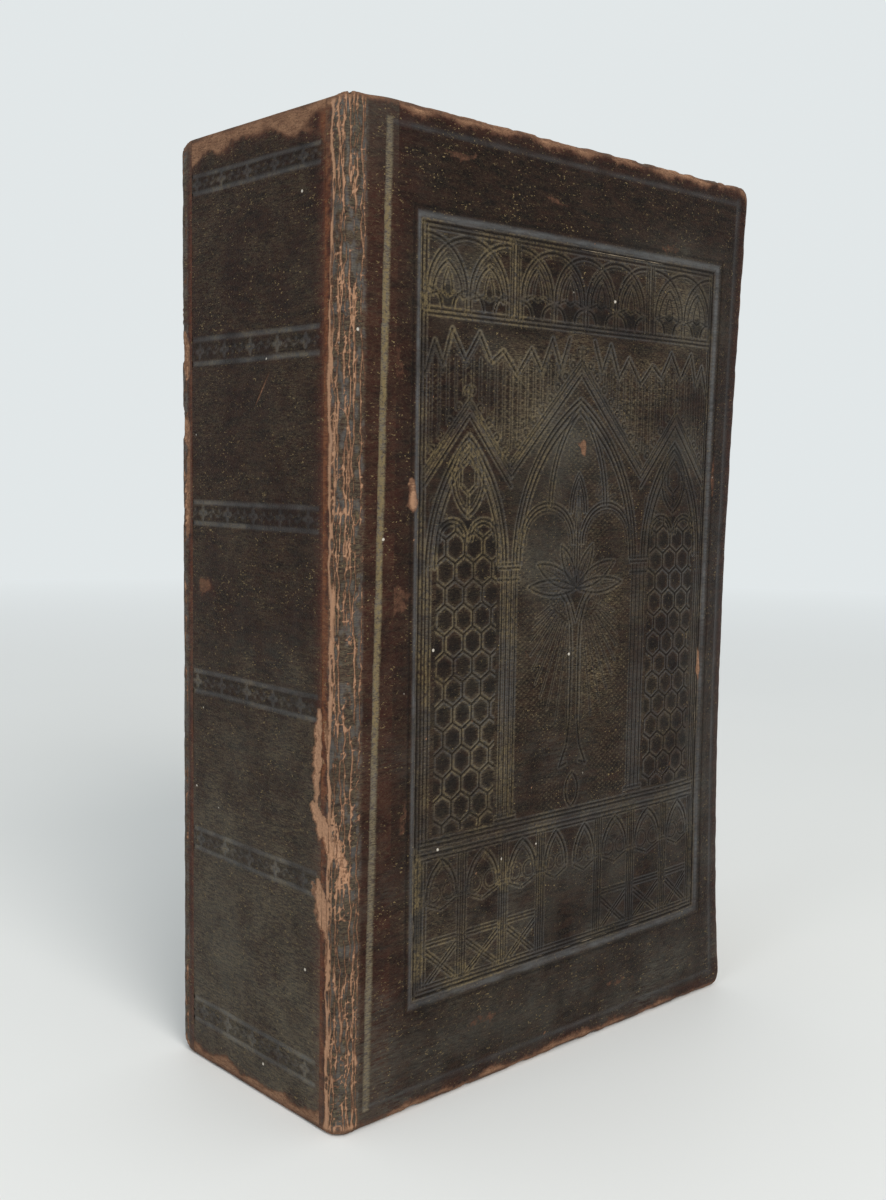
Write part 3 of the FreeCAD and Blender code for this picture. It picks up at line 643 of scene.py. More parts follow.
def leatherMaterial():
    # place is where a point lies on the flattened skin, in millimetres
    c = leather
    material, tree, shader = newTree("aged_leather")
    place = named(tree, "place", "Vector")
    wear, gilt, burnishAndSheen, groove, red, suede, dustAndSheen, ochre = (
        named(tree, layer) for layer in ("wear", "gilt", "burnishAndSheen", "groove", "red", "suede", "dustAndSheen", "ochre"))
    blotch = noise(tree, place, 20.0, 4.0, 0.6)
    mottle = noise(tree, scaled(tree, place, 0.42, 1.0, 1.5), 2.6, 6.0, 0.72)
    fine = noise(tree, place, 0.55, 4.0, 0.7)
    streak = noise(tree, scaled(tree, place, 0.35, 1.0, 2.2), 1.1, 4.0, 0.65)
    crackle = noise(tree, scaled(tree, place, 0.8, 1.0, 1.3), 1.4, 5.0, 0.72)
    wrinkles = spread(tree, calc(tree, "ABSOLUTE", calc(tree, "SUBTRACT", crackle, 0.5)), 0.026, 0.0)
    grit = noise(tree, scaled(tree, place, 0.3, 1.0, 1.6), 0.42, 3.0, 0.7)
    colour = blendColour(tree, spread(tree, mottle, 0.40, 0.64), c["dark"], c["brown"])
    reddened = times(tree, red, spread(tree, mottle, 0.20, 0.55), True)
    colour = blendColour(tree, reddened, colour, c["red"])
    rust = times(tree, spread(tree, red, 0.85, 1.4), spread(tree, grit, 0.30, 0.60, 0.25, 1.0))
    colour = blendColour(tree, rust, colour, c["rust"])
    # a grey veil in patches, made stronger toward the tail as painted reflection of the pale floor, and more
    # grey from the dust layer, which holds dust and, on the spine's lower part, painted reflection
    height = addNode(tree, "ShaderNodeSeparateXYZ", {0: place}).outputs[2]
    veil = times(tree, spread(tree, blotch, 0.44, 0.66), spread(tree, streak, 0.36, 0.66))
    veil = times(tree, veil, spread(tree, height, 150, 0, 0.12, 0.80))
    colour = blendColour(tree, veil, colour, c["veil"])
    dustAndSheenMask = times(tree, dustAndSheen, spread(tree, grit, 0.30, 0.62, 0.30, 1.0))
    colour = blendColour(tree, dustAndSheenMask, colour, c["veil"])
    # grime and old gold left in the wrinkles, in single grains and in soft clouds
    residue = times(tree, wrinkles, spread(tree, ochre, 0.0, 1.0, 0.14, 0.62))
    colour = blendColour(tree, residue, colour, c["ochre"])
    haze = times(tree, ochre, spread(tree, grit, 0.44, 0.64, 0.0, 0.95))
    colour = blendColour(tree, haze, colour, c["ochre"])
    grains = spread(tree, noise(tree, scaled(tree, place, 0.5, 1.0, 0.9), 0.36, 2.0, 0.6), 0.635, 0.70)
    grainy = spread(tree, noise(tree, place, 7.0, 3.0, 0.6), 0.42, 0.60, 0.12, 0.8)
    colour = blendColour(tree, times(tree, grains, grainy), colour, c["gold"])
    # painted sheen: burnished places are tinted toward a pale grey that stands for light reflected off them
    polishAndSheen = times(tree, burnishAndSheen, spread(tree, streak, 0.3, 0.62, 0.35, 0.95))
    colour = blendColour(tree, polishAndSheen, colour, c["paintedSheenGrey"])
    # painted shade: the groove layer darkens the stamped grooves, the sides of the fillets and the panel's rim;
    # elsewhere it gives a darker tone to panes, cracks and spine bands
    colour = blendColour(tree, times(tree, groove, 0.88), colour, c["grimeAndShade"])
    # gilt stays only in flecks of the lines, and wear eats in from its edges
    leaf = times(tree, gilt, spread(tree, noise(tree, place, 0.9, 5.0, 0.75), 0.42, 0.58))
    colour = blendColour(tree, leaf, colour, c["gold"])
    torn = times(tree, suede, spread(tree, fine, 0.30, 0.62, 0.55, 1.0))
    colour = blendColour(tree, torn, colour, c["suede"])
    ragged = plus(tree, wear, spread(tree, noise(tree, place, 1.3, 6.0, 0.75), 0.0, 1.0, -0.62, 0.52))
    bare = spread(tree, ragged, 0.36, 0.62)
    bareColour = blendColour(tree, spread(tree, grit, 0.28, 0.52), c["rubbed"], c["worn"])
    bareColour = blendColour(tree, spread(tree, wear, 0.55, 0.95), c["rubbed"], bareColour)
    bareColour = blendColour(tree, times(tree, wrinkles, 0.6), bareColour, c["grimeAndShade"])
    bareColour = blendColour(tree, spread(tree, mottle, 0.52, 0.34, 0.0, 0.6), bareColour, c["rubbed"])
    bareColour = blendColour(tree, spread(tree, wear, 0.90, 1.10, 0.0, 0.8), bareColour, c["suede"])
    colour = blendColour(tree, times(tree, bare, 0.88), colour, bareColour)
    # one dot in each cell of a loose net, kept only in some places
    dots = spread(tree, cells(tree, place, 7.5, "F1"), 0.050, 0.034)
    dots = times(tree, dots, spread(tree, noise(tree, place, 11.0, 1.0, 0.5), 0.52, 0.54))
    colour = blendColour(tree, times(tree, dots, 0.85), colour, c["speck"])
    rough = spread(tree, streak, 0.3, 0.7, c["roughness"] - 0.08, c["roughness"] + 0.12)
    rough = plus(tree, rough, times(tree, burnishAndSheen, -0.16))
    rough = plus(tree, rough, times(tree, bare, 0.22))
    rough = plus(tree, rough, times(tree, suede, 0.20), True)
    pebbles = spread(tree, cells(tree, scaled(tree, place, 0.75, 1.0, 1.25), c["grain"]), 0.0, 0.28)
    grain = times(tree, pebbles, calc(tree, "SUBTRACT", 1.0, times(tree, burnishAndSheen, 0.6)))
    creases = spread(tree, cells(tree, scaled(tree, place, 0.7, 1.0, 1.5), c["wrinkle"]), 0.0, 0.10)
    normal = bump(tree, creases, c["creaseDepth"], 0.5)
    normal = bump(tree, grain, c["grainDepth"], 0.7, normal)
    normal = bump(tree, plus(tree, fine, streak), c["fineDepth"], 0.7, normal)
    plug(tree, shader, {"Base Color": colour, "Roughness": rough, "Normal": normal,
                        "Metallic": times(tree, leaf, 0.55),
                        "Specular IOR Level": spread(tree, burnishAndSheen, 0.0, 1.0, c["sheen"], 0.38)})
    return material


pages = {"edge": (0.42, 0.31, 0.19), "shade": (0.24, 0.16, 0.09), "leaf": 0.32, "roughness": 0.82}


def pageMaterial():
    # leaves lie across the thickness, so the fine lines at the edges change almost only with y
    material, tree, shader = newTree("old_pages")
    place = objectPlace(tree)
    lines = noise(tree, scaled(tree, place, 0.01, 1.0, 0.006), pages["leaf"], 4.0, 0.7)
    bundle = noise(tree, scaled(tree, place, 0.008, 1.0, 0.004), 3.1, 2.0, 0.5)
    stain = noise(tree, place, 26.0, 4.0, 0.6)
    mix = times(tree, spread(tree, lines, 0.30, 0.62), spread(tree, bundle, 0.25, 0.6, 0.6, 1.0))
    colour = blendColour(tree, mix, pages["shade"], pages["edge"])
    colour = blendColour(tree, spread(tree, stain, 0.45, 0.75, 0.0, 0.35), colour, pages["shade"])
    plug(tree, shader, {"Base Color": colour, "Roughness": pages["roughness"],
                        "Normal": bump(tree, lines, 0.0001, 0.8)})
    return material


def fibreMaterial(name, light, dark, size, stretch, roughness=0.85, depth=0.00005):
    # paper, board, cloth or cord: mottled colour with fibres drawn out along one way
    material, tree, shader = newTree(name)
    place = objectPlace(tree)
    fibres = noise(tree, scaled(tree, place, *stretch), size, 5.0, 0.65)
    stain = noise(tree, place, 40.0, 6.0, 0.65)
    foxing = spread(tree, noise(tree, place, 3.4, 4.0, 0.6), 0.64, 0.76)
    colour = blendColour(tree, spread(tree, fibres, 0.3, 0.7), dark, light)
    soiled = tuple(0.62 * v for v in dark)
    colour = blendColour(tree, spread(tree, stain, 0.44, 0.80, 0.0, 0.42), colour, soiled)
    colour = blendColour(tree, times(tree, foxing, 0.6), colour, soiled)
    plug(tree, shader, {"Base Color": colour, "Normal": bump(tree, fibres, depth, 0.8),
                        "Roughness": spread(tree, fibres, 0.3, 0.7, roughness, roughness - 0.12)})
    return material


silk = {
    "light": (0.30, 0.21, 0.12), "red": (0.12, 0.035, 0.022), "grime": (0.05, 0.03, 0.02),
    "thread": 0.75, "swell": 0.10, "squareness": 2 / 3,
}


def threadMaterial():
    # silk wound round a core, two colours by turns along the spine's thickness
    material, tree, shader = newTree("headband_silk")
    place = objectPlace(tree)
    values = {"Vector": place, "Scale": 0.10, "Distortion": 0.5, "Detail": 1.0}
    turns = addNode(tree, "ShaderNodeTexWave", values, bands_direction="Y").outputs[1]
    fuzz = noise(tree, place, 0.3, 4.0, 0.7)
    colour = blendColour(tree, spread(tree, turns, 0.42, 0.58), silk["light"], silk["red"])
    colour = blendColour(tree, spread(tree, fuzz, 0.35, 0.75, 0.0, 0.5), colour, silk["grime"])
    plug(tree, shader, {"Base Color": colour, "Roughness": 0.6, "Normal": bump(tree, fuzz, 0.00006, 0.8)})
    return material


leatherLook = leatherMaterial()
pageLook = pageMaterial()
paperLook = fibreMaterial("endpaper", (0.55, 0.45, 0.30), (0.40, 0.29, 0.165), 0.5, (1.0, 1.0, 0.6))
boardLook = fibreMaterial("mill_board", (0.24, 0.19, 0.13), (0.12, 0.09, 0.06), 0.9, (0.6, 2.0, 0.6))
clothLook = fibreMaterial("lining_cloth", (0.36, 0.30, 0.22), (0.20, 0.16, 0.11), 0.5, (1.0, 1.0, 1.0))
cordLook = fibreMaterial("hemp_cord", (0.40, 0.30, 0.18), (0.20, 0.14, 0.08), 0.4, (1.0, 0.3, 1.0), 0.9, 0.0001)
threadLook = threadMaterial()

nodeLooks = {"text_block": pageLook, "spine_lining": clothLook, "spine_card": boardLook}
for side in ("front", "back"):
    nodeLooks[f"{side}_flyleaf"] = paperLook
    nodeLooks[f"{side}_pastedown"] = paperLook
    nodeLooks[f"{side}_board"] = boardLook
for number in range(1, 6):
    nodeLooks[f"sewing_cord_{number}"] = cordLook
for nodeName, look in nodeLooks.items():
    for slot in frame["nodes"][nodeName].material_slots:
        slot.link = "OBJECT"
        slot.material = look


print("leather")

# backShift moves the back half of the flattened skin on, so that its grain doesn't mirror the front's
surface = {"level": 0.16, "waves": 0.10, "ripples": 0.035, "least": 0.02, "backShift": 90.0}


def unevenness(u, z):
    # depth of the old skin below the outer face: broad waves and small ripples
    s = surface
    return s["level"] + s["waves"] * patches(u, z, 17, 11) + s["ripples"] * smoothNoise(u, z, 3.1, 23, 2)


def lineBetween(x, z, start, end):
    # distance to a straight line, and how far along it the nearest point lies, from 0 to 1
    dx, dz = end[0] - start[0], end[1] - start[1]
    part = np.clip(((x - start[0]) * dx + (z - start[1]) * dz) / (dx * dx + dz * dz), 0, 1)
    return np.hypot(x - start[0] - part * dx, z - start[1] - part * dz), part


scuffs = (
    # x from the spine's face, z, half width, half height, turn in degrees, strength
    (18.6, 127.6, 1.6, 3.0, 8, 0.95), (15.0, 108.1, 3.2, 4.5, 25, 0.55), (116.0, 86.1, 0.7, 5.0, 4, 0.85),
    (69.3, 138.6, 1.1, 2.0, 0, 0.75), (97.0, 186.1, 5.0, 1.3, 3, 0.45), (58.0, 191.1, 4.0, 1.0, -6, 0.5),
    (14.0, 154.1, 1.4, 6.0, 10, 0.5), (16.5, 62.1, 1.2, 5.0, -8, 0.5), (119.0, 132.1, 0.8, 7.0, 0, 0.5),
    (40.0, 14.1, 6.0, 1.2, 4, 0.5), (86.0, 11.1, 7.0, 1.0, -3, 0.5), (30.0, 196.1, 5.0, 0.9, 2, 0.55),
    (82.0, 74.1, 2.2, 1.0, 30, 0.35), (52.0, 94.1, 1.2, 2.4, 20, 0.35), (104.0, 62.1, 1.0, 2.4, -20, 0.35),
)


def scuffWear(x, z, seed=0):
    # one minus the squared distance to an ellipse, for each rubbed spot; seed 1 moves them about for the back
    total = np.zeros(x.shape)
    for sx, sz, half, high, turn, strength in scuffs:
        a = math.radians(turn + 40 * seed)
        dx, dz = x - spineX - sx, z - (sz if seed == 0 else bookHeight - sz)
        across = (dx * math.cos(a) + dz * math.sin(a)) / half
        up = (dz * math.cos(a) - dx * math.sin(a)) / high
        e = (across ** 2 + up ** 2) * (1 + 0.7 * smoothNoise(x, z, 2.2, 401, 3))
        total = np.maximum(total, strength * np.clip(1.35 - e, 0, 1))
    return total


def borderLines(x, z):
    # the worn fillet along the joint, which leans a little, and the fine ones by the other edges
    b = border
    lean = b["jointTail"] + (b["jointHead"] - b["jointTail"]) * (z - tailZ) / bookHeight
    inset = b["edge"] - b["width"]
    inside = (x > spineX + lean - b["width"]) & (x < foreX - inset) & (z > tailZ + inset) & (z < headZ - inset)
    others = np.minimum(np.minimum(np.abs(z - tailZ - b["edge"]), np.abs(headZ - b["edge"] - z)),
                        np.abs(foreX - b["edge"] - x))
    waver = b["width"] * (1 + 0.12 * smoothNoise(x, z, 4, 81, 2))
    jointLine = np.exp(-(np.abs(x - spineX - lean) / waver) ** 6) * inside
    return jointLine, np.exp(-(others / (0.68 * waver)) ** 4) * inside


def filletLayers(z, jointLine, fineLine, patch):
    # what the lines of the border add: painted shade on their sides, polished ridges with a painted grey sheen,
    # and remains of gold
    lines = np.maximum(jointLine, 0.8 * fineLine)
    kept = 0.30 + 0.7 * ramp(z, 70, 84) * (1 - ramp(z, 182, 192))
    return 0.35 * slopeOf(lines), 0.40 * lines * (0.6 + 0.6 * patch), 0.85 * jointLine * kept


def panelRamp(x, z, width):
    # 0 outside the panel's rim and 1 inside, over the width of its sloping shoulder
    p = panel
    inside = np.minimum(np.minimum(x - spineX - p["left"], spineX + p["right"] - x),
                        np.minimum(z - p["tail"], p["head"] - z))
    return ramp(inside, 0, width), inside


greyHaze = (
    # x from the spine's face, z, half width, half height, strength
    (62.0, 141.0, 15.0, 15.0, 0.75), (58.0, 112.0, 12.0, 11.0, 0.6), (106.0, 140.0, 9.0, 12.0, 0.45),
    (40.0, 158.0, 9.0, 7.0, 0.5), (30.0, 172.0, 8.0, 7.0, 0.95), (100.0, 186.0, 16.0, 5.0, 0.5),
    (108.0, 172.0, 12.0, 9.0, 0.7), (70.0, 36.0, 40.0, 16.0, 0.45), (60.0, 10.0, 55.0, 9.0, 0.5),
    (112.0, 60.0, 8.0, 40.0, 0.4),
)
goldHaze = (
    (50.0, 149.0, 8.0, 11.0, 0.9), (90.0, 151.0, 11.0, 10.0, 0.85), (36.0, 90.0, 16.0, 36.0, 0.55),
    (78.0, 112.0, 9.0, 11.0, 0.7), (74.0, 88.0, 14.0, 14.0, 0.6), (101.0, 172.0, 12.0, 9.0, 0.85),
    (36.0, 172.0, 16.0, 7.0, 0.5), (66.0, 160.0, 12.0, 6.0, 0.6), (100.0, 92.0, 12.0, 32.0, 0.4),
    (36.0, 36.0, 18.0, 14.0, 0.4),
)


def hazeOf(x, z, blots):
    # soft blots, each strength times exp(-(dx / half width)^2 - (dz / half height)^2), broken by noise
    total = np.zeros(x.shape)
    for bx, bz, half, high, strength in blots:
        total = np.maximum(total, strength * bell(x - spineX - bx, half) * bell(z - bz, high))
    return total * (0.55 + 0.55 * smoothNoise(x, z, 9, 91, 3))


def coverSurface(x, z, sheet=None, seed=0):
    # depth into the cover and the layers that the leather's material reads, for points on its face
    slope, inside = panelRamp(x, z, panel["shoulder"])
    jointLine, fineLine = borderLines(x, z)
    rim = bell(inside + 0.5, 0.35) + bell(inside - panel["shoulder"] - 0.5, 0.3)
    depth = unevenness(x, z) + panel["depth"] * slope + border["depth"] * (jointLine + fineLine) + 0.12 * rim
    ends = np.minimum(z - tailZ, headZ - z)
    edge = np.minimum(ends, foreX - x)
    patch = patches(x, z, 6, 71, 3)
    dark, polishAndSheen, gilt = filletLayers(z, jointLine, fineLine, patch)
    # painted highlight: the panel's sloping shoulder gets a pale grey tint through the burnish layer, more
    # toward the head
    shine = 0.30 + 0.35 * patch + 0.25 * ramp(z, 60, 160)
    rubbed = 0.86 * bell(edge, 1.5) + 0.60 * (1 - ramp(ends, 2.2, 4.8)) * patch
    layers = {
        # painted shade darkens the rim at the foot and top of the panel's shoulder, and the sides of the
        # fillets
        "groove": np.clip(0.55 * rim + dark, 0, 1),
        "burnishAndSheen": np.clip(slopeOf(slope) * shine + polishAndSheen, 0, 1),
        "gilt": gilt,
        "wear": np.maximum(rubbed, scuffWear(x, z, seed)) + 0.12 * bell(inside + 0.2, 0.7),
        "red": 0.75 * bell(x - spineX - 7, 9) * (0.4 + 0.6 * patch) + 0.5 * bell(edge, 3.4),
        "suede": np.zeros(x.shape),
        "dustAndSheen": hazeOf(x, z, greyHaze),
        "ochre": np.maximum(hazeOf(x, z, goldHaze), 1.7 * jointLine),
    }
    if sheet is not None:
        depth = depth + stampPattern(x, z, sheet, layers)
    return np.maximum(depth, surface["least"]), layers


def stampPattern(x, z, sheet, layers):
    # grooves darkened with painted shade, rubbed lips with gold to the left and a painted grey sheen, and a
    # fine weave in the middle of the panel
    line, lip, pane = sheet["groove"], sheet["lip"], sheet["pane"]
    left = 1 - ramp(x - spineX, 42, 70)
    rubbed = patches(x, z, 11, 57, 3)
    weave = ramp(np.sin(2 * np.pi * z / 1.2) * np.sin(2 * np.pi * x / 1.6), 0.0, 0.7)
    middle = np.maximum(ramp(x - spineX, 47, 50) * (1 - ramp(x - spineX, 87, 90)), ramp(z, 136, 144))
    weave = weave * ramp(z, 54, 60) * (1 - ramp(z, 158, 164)) * ramp(rubbed, 0.3, 0.7) * middle
    layers["groove"] = np.clip(layers["groove"] + line + 0.68 * pane, 0, 1)
    layers["gilt"] = np.clip(lip * (0.22 + 0.45 * left) * ramp(patches(x, z, 7, 47, 2), 0.26, 0.66), 0, 1)
    layers["burnishAndSheen"] = np.clip(layers["burnishAndSheen"] + 0.42 * lip * (0.25 + rubbed), 0, 1)
    layers["wear"] = layers["wear"] + 0.10 * lip
    ochre = np.clip(layers["ochre"] + 0.3 * (line + lip) * left, 0, 1)
    layers["ochre"] = np.clip(ochre + 0.45 * weave, 0, 1)
    return panel["lineDepth"] * line - panel["lipHeight"] * lip + panel["paneDepth"] * pane - 0.03 * weave


def evenly(start, end, step):
    return np.linspace(start, end, int(round((end - start) / step)) + 1)


# the part of the cover's face that the panel's three sheets fill
holeLeft = spineX + panel["left"] - panel["margin"]
holeRight = spineX + panel["right"] + panel["margin"]
holeTail, holeHead = panel["tail"] - panel["margin"], panel["head"] + panel["margin"]
coarse = evenly(holeLeft, holeRight, 3 * panel["step"])
panelColumns = np.linspace(holeLeft, holeRight, 3 * (len(coarse) - 1) + 1)


def panelPieces():
    # three sheets that share the rows where they meet
    cuts = (holeTail, panel["tailCut"], panel["headCut"], holeHead)
    names = ("front_panel_base", "front_panel_windows", "front_panel_frieze")
    for name, low, high in zip(names, cuts, cuts[1:]):
        z = evenly(low, high, panel["step"])
        sheet = emptySheet(panelColumns, z)
        drawPanel(sheet)
        gx, gz = np.meshgrid(panelColumns, z)
        depth, layers = coverSurface(gx, gz, sheet)
        layers = {k: v.ravel() for k, v in layers.items()}
        layers["place"] = np.stack([gx, depth, gz], -1).reshape(-1, 3)
        points = coverPoints(gx, gz, depth, -1).reshape(-1, 3)
        piece = makeMesh(name, points, gridFaces(len(z), len(panelColumns)), layers, leatherLook)
        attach(piece, "front_cover")
        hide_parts("front_leather")


def edgeProfile(rounding, thickness, inner, flap):
    # inset from the outline and depth, for each ring round an edge: rounding, wall, rounding, flap
    rings = []
    for a in np.radians((30, 60, 90)):
        rings.append((rounding * (1 - np.sin(a)), surface["level"] + rounding * (1 - np.cos(a))))
    rings.append((0.0, (surface["level"] + rounding + thickness - inner) / 2))
    for a in np.radians((0, 45, 90)):
        rings.append((inner * (1 - np.cos(a)), thickness - inner * (1 - np.sin(a))))
    for part in (0.4, 1.0):
        rings.append((inner + (flap - inner) * part, thickness))
    return rings


def cornerShare(x, z):
    # how far a point lies into a rounded corner, from 0 to 1 across, and up (+) or down (-)
    reach = cover["cornerRound"] - cover["edgeRound"]
    z = z - (tailZ + headZ) / 2
    up = np.clip((np.abs(z) - bookHeight / 2 + cover["cornerRound"]) / reach, 0, 1)
    return np.clip((x - foreX + cover["cornerRound"]) / reach, 0, 1), up * np.sign(z)


def coverGrid(hole):
    # the face of a cover as one grid, with the cells left out where the panel's sheets lie
    inset, step = cover["edgeRound"], cover["step"]
    x = np.concatenate([evenly(hingeX + jointStrip["coverReach"], holeLeft, step)[:-1], coarse,
                        evenly(holeRight, foreX - inset, step)[1:]])
    z = np.concatenate([evenly(tailZ + inset, holeTail, step)[:-1], evenly(holeTail, holeHead, step),
                        evenly(holeHead, headZ - inset, step)[1:]])
    faces = gridFaces(len(z), len(x), not hole)
    if hole:
        cx, cz = np.meshgrid((x[1:] + x[:-1]) / 2, (z[1:] + z[:-1]) / 2)
        keep = ~((cx > holeLeft) & (cx < holeRight) & (cz > holeTail) & (cz < holeHead))
        faces = faces[keep.ravel()]
    gx, gz = np.meshgrid(x, z)
    # a square corner is drawn in to a round one: a' = a sqrt(1 - b^2 / 2), b' = b sqrt(1 - a^2 / 2)
    reach = cover["cornerRound"] - inset
    a, b = cornerShare(gx, gz)
    gx = gx - a * reach * (1 - np.sqrt(1 - b * b / 2))
    gz = gz - b * reach * (1 - np.sqrt(1 - a * a / 2))
    return gx, gz, faces


def edgeRings(px, pz):
    # x, z and depth of the rings that carry the skin from the face's outline round to the inside
    c = cover
    nx, nz = cornerShare(px, pz)
    length = np.hypot(nx, nz)
    flapX = np.minimum(px, foreX - c["turnIn"])
    flapZ = np.clip(pz, tailZ + c["turnIn"], headZ - c["turnIn"])
    level = unevenness(px, pz) - surface["level"]
    # the rubbed edge gives way a little, but not where it meets the joint
    start = hingeX + jointStrip["coverReach"]
    frayed = np.clip(0.3 + smoothNoise(px, pz, 3.0, 411, 3), 0, 1) * ramp(px, start + 0.5, start + 4)
    profile = edgeProfile(c["edgeRound"], c["thickness"], c["innerRound"], c["turnIn"])
    wallRings = len(profile) - 2
    rings = []
    for i, (inward, deep) in enumerate(profile):
        if i < wallRings:
            inward = inward + c["fray"] * frayed * min(1, 2 - i / 3)
            rx = wallX = px + nx / length * (c["edgeRound"] - inward)
            rz = wallZ = pz + nz / length * (c["edgeRound"] - inward)
        else:
            part = (inward - c["innerRound"]) / (c["turnIn"] - c["innerRound"])
            rx, rz = wallX + (flapX - wallX) * part, wallZ + (flapZ - wallZ) * part
        rings.append((rx, rz, deep + max(0.0, 1 - i / 4) * level))
    return np.array(rings).transpose(1, 0, 2)


def coverSkin(name, side, bodyName, nodeName, hole):
    # the face of a cover, then rings that carry the skin over its three edges
    gx, gz, faces = coverGrid(hole)
    depth, layers = coverSurface(gx, gz, None, 0 if hole else 1)
    index = np.arange(gx.size).reshape(gx.shape)
    rim = np.concatenate([index[0, :-1], index[:-1, -1], index[-1, ::-1]])
    ringX, ringZ, ringDepth = edgeRings(gx.ravel()[rim], gz.ravel()[rim])
    chain = np.vstack([rim[None, :], gx.size + np.arange(ringX.size).reshape(ringX.shape)])
    around = np.stack([chain[:-1, :-1], chain[1:, :-1], chain[1:, 1:], chain[:-1, 1:]], -1).reshape(-1, 4)
    if side > 0:
        around = around[:, ::-1]
    x, z, depth = (np.concatenate([a.ravel(), b.ravel()])
                   for a, b in ((gx, ringX), (gz, ringZ), (depth, ringDepth)))
    ringLayers = edgeLayers(ringX, ringZ, ringDepth)
    layers = {k: np.concatenate([layers[k].ravel(), ringLayers[k].ravel()]) for k in layers}
    layers["place"] = np.stack([x if side < 0 else -x - surface["backShift"], depth, z], -1)
    piece = makeMesh(name, coverPoints(x, z, depth, side), np.vstack([faces, around]), layers, leatherLook)
    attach(piece, bodyName)
    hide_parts(nodeName)


def edgeLayers(x, z, depth):
    # the rubbed edge: bare on the corners of the board, less on its wall and inside
    patch = patches(x + z, depth * 3, 8, 61, 2)
    bared = bell(depth - 0.9, 1.2) + 0.55 * bell(depth - 4.2, 0.5)
    layers = {"wear": np.clip(bared * (0.48 + 0.62 * patch), 0, 0.95)}
    for layer, value in (("groove", 0.0), ("burnishAndSheen", 0.05), ("gilt", 0.0), ("red", 0.35),
                         ("suede", 0.1), ("dustAndSheen", 0.2), ("ochre", 0.2)):
        layers[layer] = np.full(x.shape, value)
    return layers


# where the joint's cracks run, as distances from the hinge line
crackPlaces = (-5.0, -4.3, -3.6, -2.9, -2.2, -1.5, -0.8, -0.1, 0.7, 1.5, 2.3)


def cracks(s, z):
    # wavy upright cracks at s0 + waves(z), which come and go, and the raised leather beside them
    line, raised = np.zeros(s.shape), np.zeros(s.shape)
    for i, s0 in enumerate(crackPlaces):
        wander = 0.55 * noiseAlong(z, 4.0, 101 + i, 3) + 0.8 * noiseAlong(z, 30, 131 + i)
        width = np.clip(0.20 + 0.15 * noiseAlong(z, 5, 151 + i, 2), 0.07, None)
        present = ramp(0.5 + 0.5 * noiseAlong(z, 21, 171 + i, 2), 0.26, 0.44)
        off = np.abs(s - s0 - wander)
        line = np.maximum(line, present * bell(off, width))
        raised = np.maximum(raised, present * bell(off - 0.5, 0.35))
    return line, raised


flakes = (
    # ends of each torn flake on the joint (distance from the hinge line, z), half width, strength
    ((-10.6, 66.6), (-1.4, 56.0), 2.5, 1.0), ((-8.6, 86.0), (-9.4, 67.0), 1.5, 0.95),
    ((-8.6, 51.4), (-6.0, 41.0), 2.2, 0.95), ((-6.4, 84.0), (-5.8, 78.0), 0.8, 0.8),
    ((-8.6, 65.0), (-4.0, 60.5), 2.4, 0.9), ((-5.6, 42.0), (-5.4, 30.0), 0.7, 0.8),
    ((-10.4, 50.6), (-8.2, 47.6), 1.2, 0.8), ((-1.6, 58.0), (-1.2, 52.5), 0.9, 0.8),
)


def flakeDepth(s, z):
    # a ragged tear that follows a line, 1 in its middle and 0 outside it
    torn = np.zeros(s.shape)
    for start, end, half, strength in flakes:
        away, part = lineBetween(s, z, start, end)
        ragged = half * (0.35 + 0.65 * np.sin(np.pi * np.clip(part, 0.03, 0.97)))
        ragged = ragged * (1 + 0.45 * smoothNoise(s, z, 1.3, 211, 3))
        torn = np.maximum(torn, strength * (1 - ramp(away / ragged, 0.75, 1.05)))
    return torn


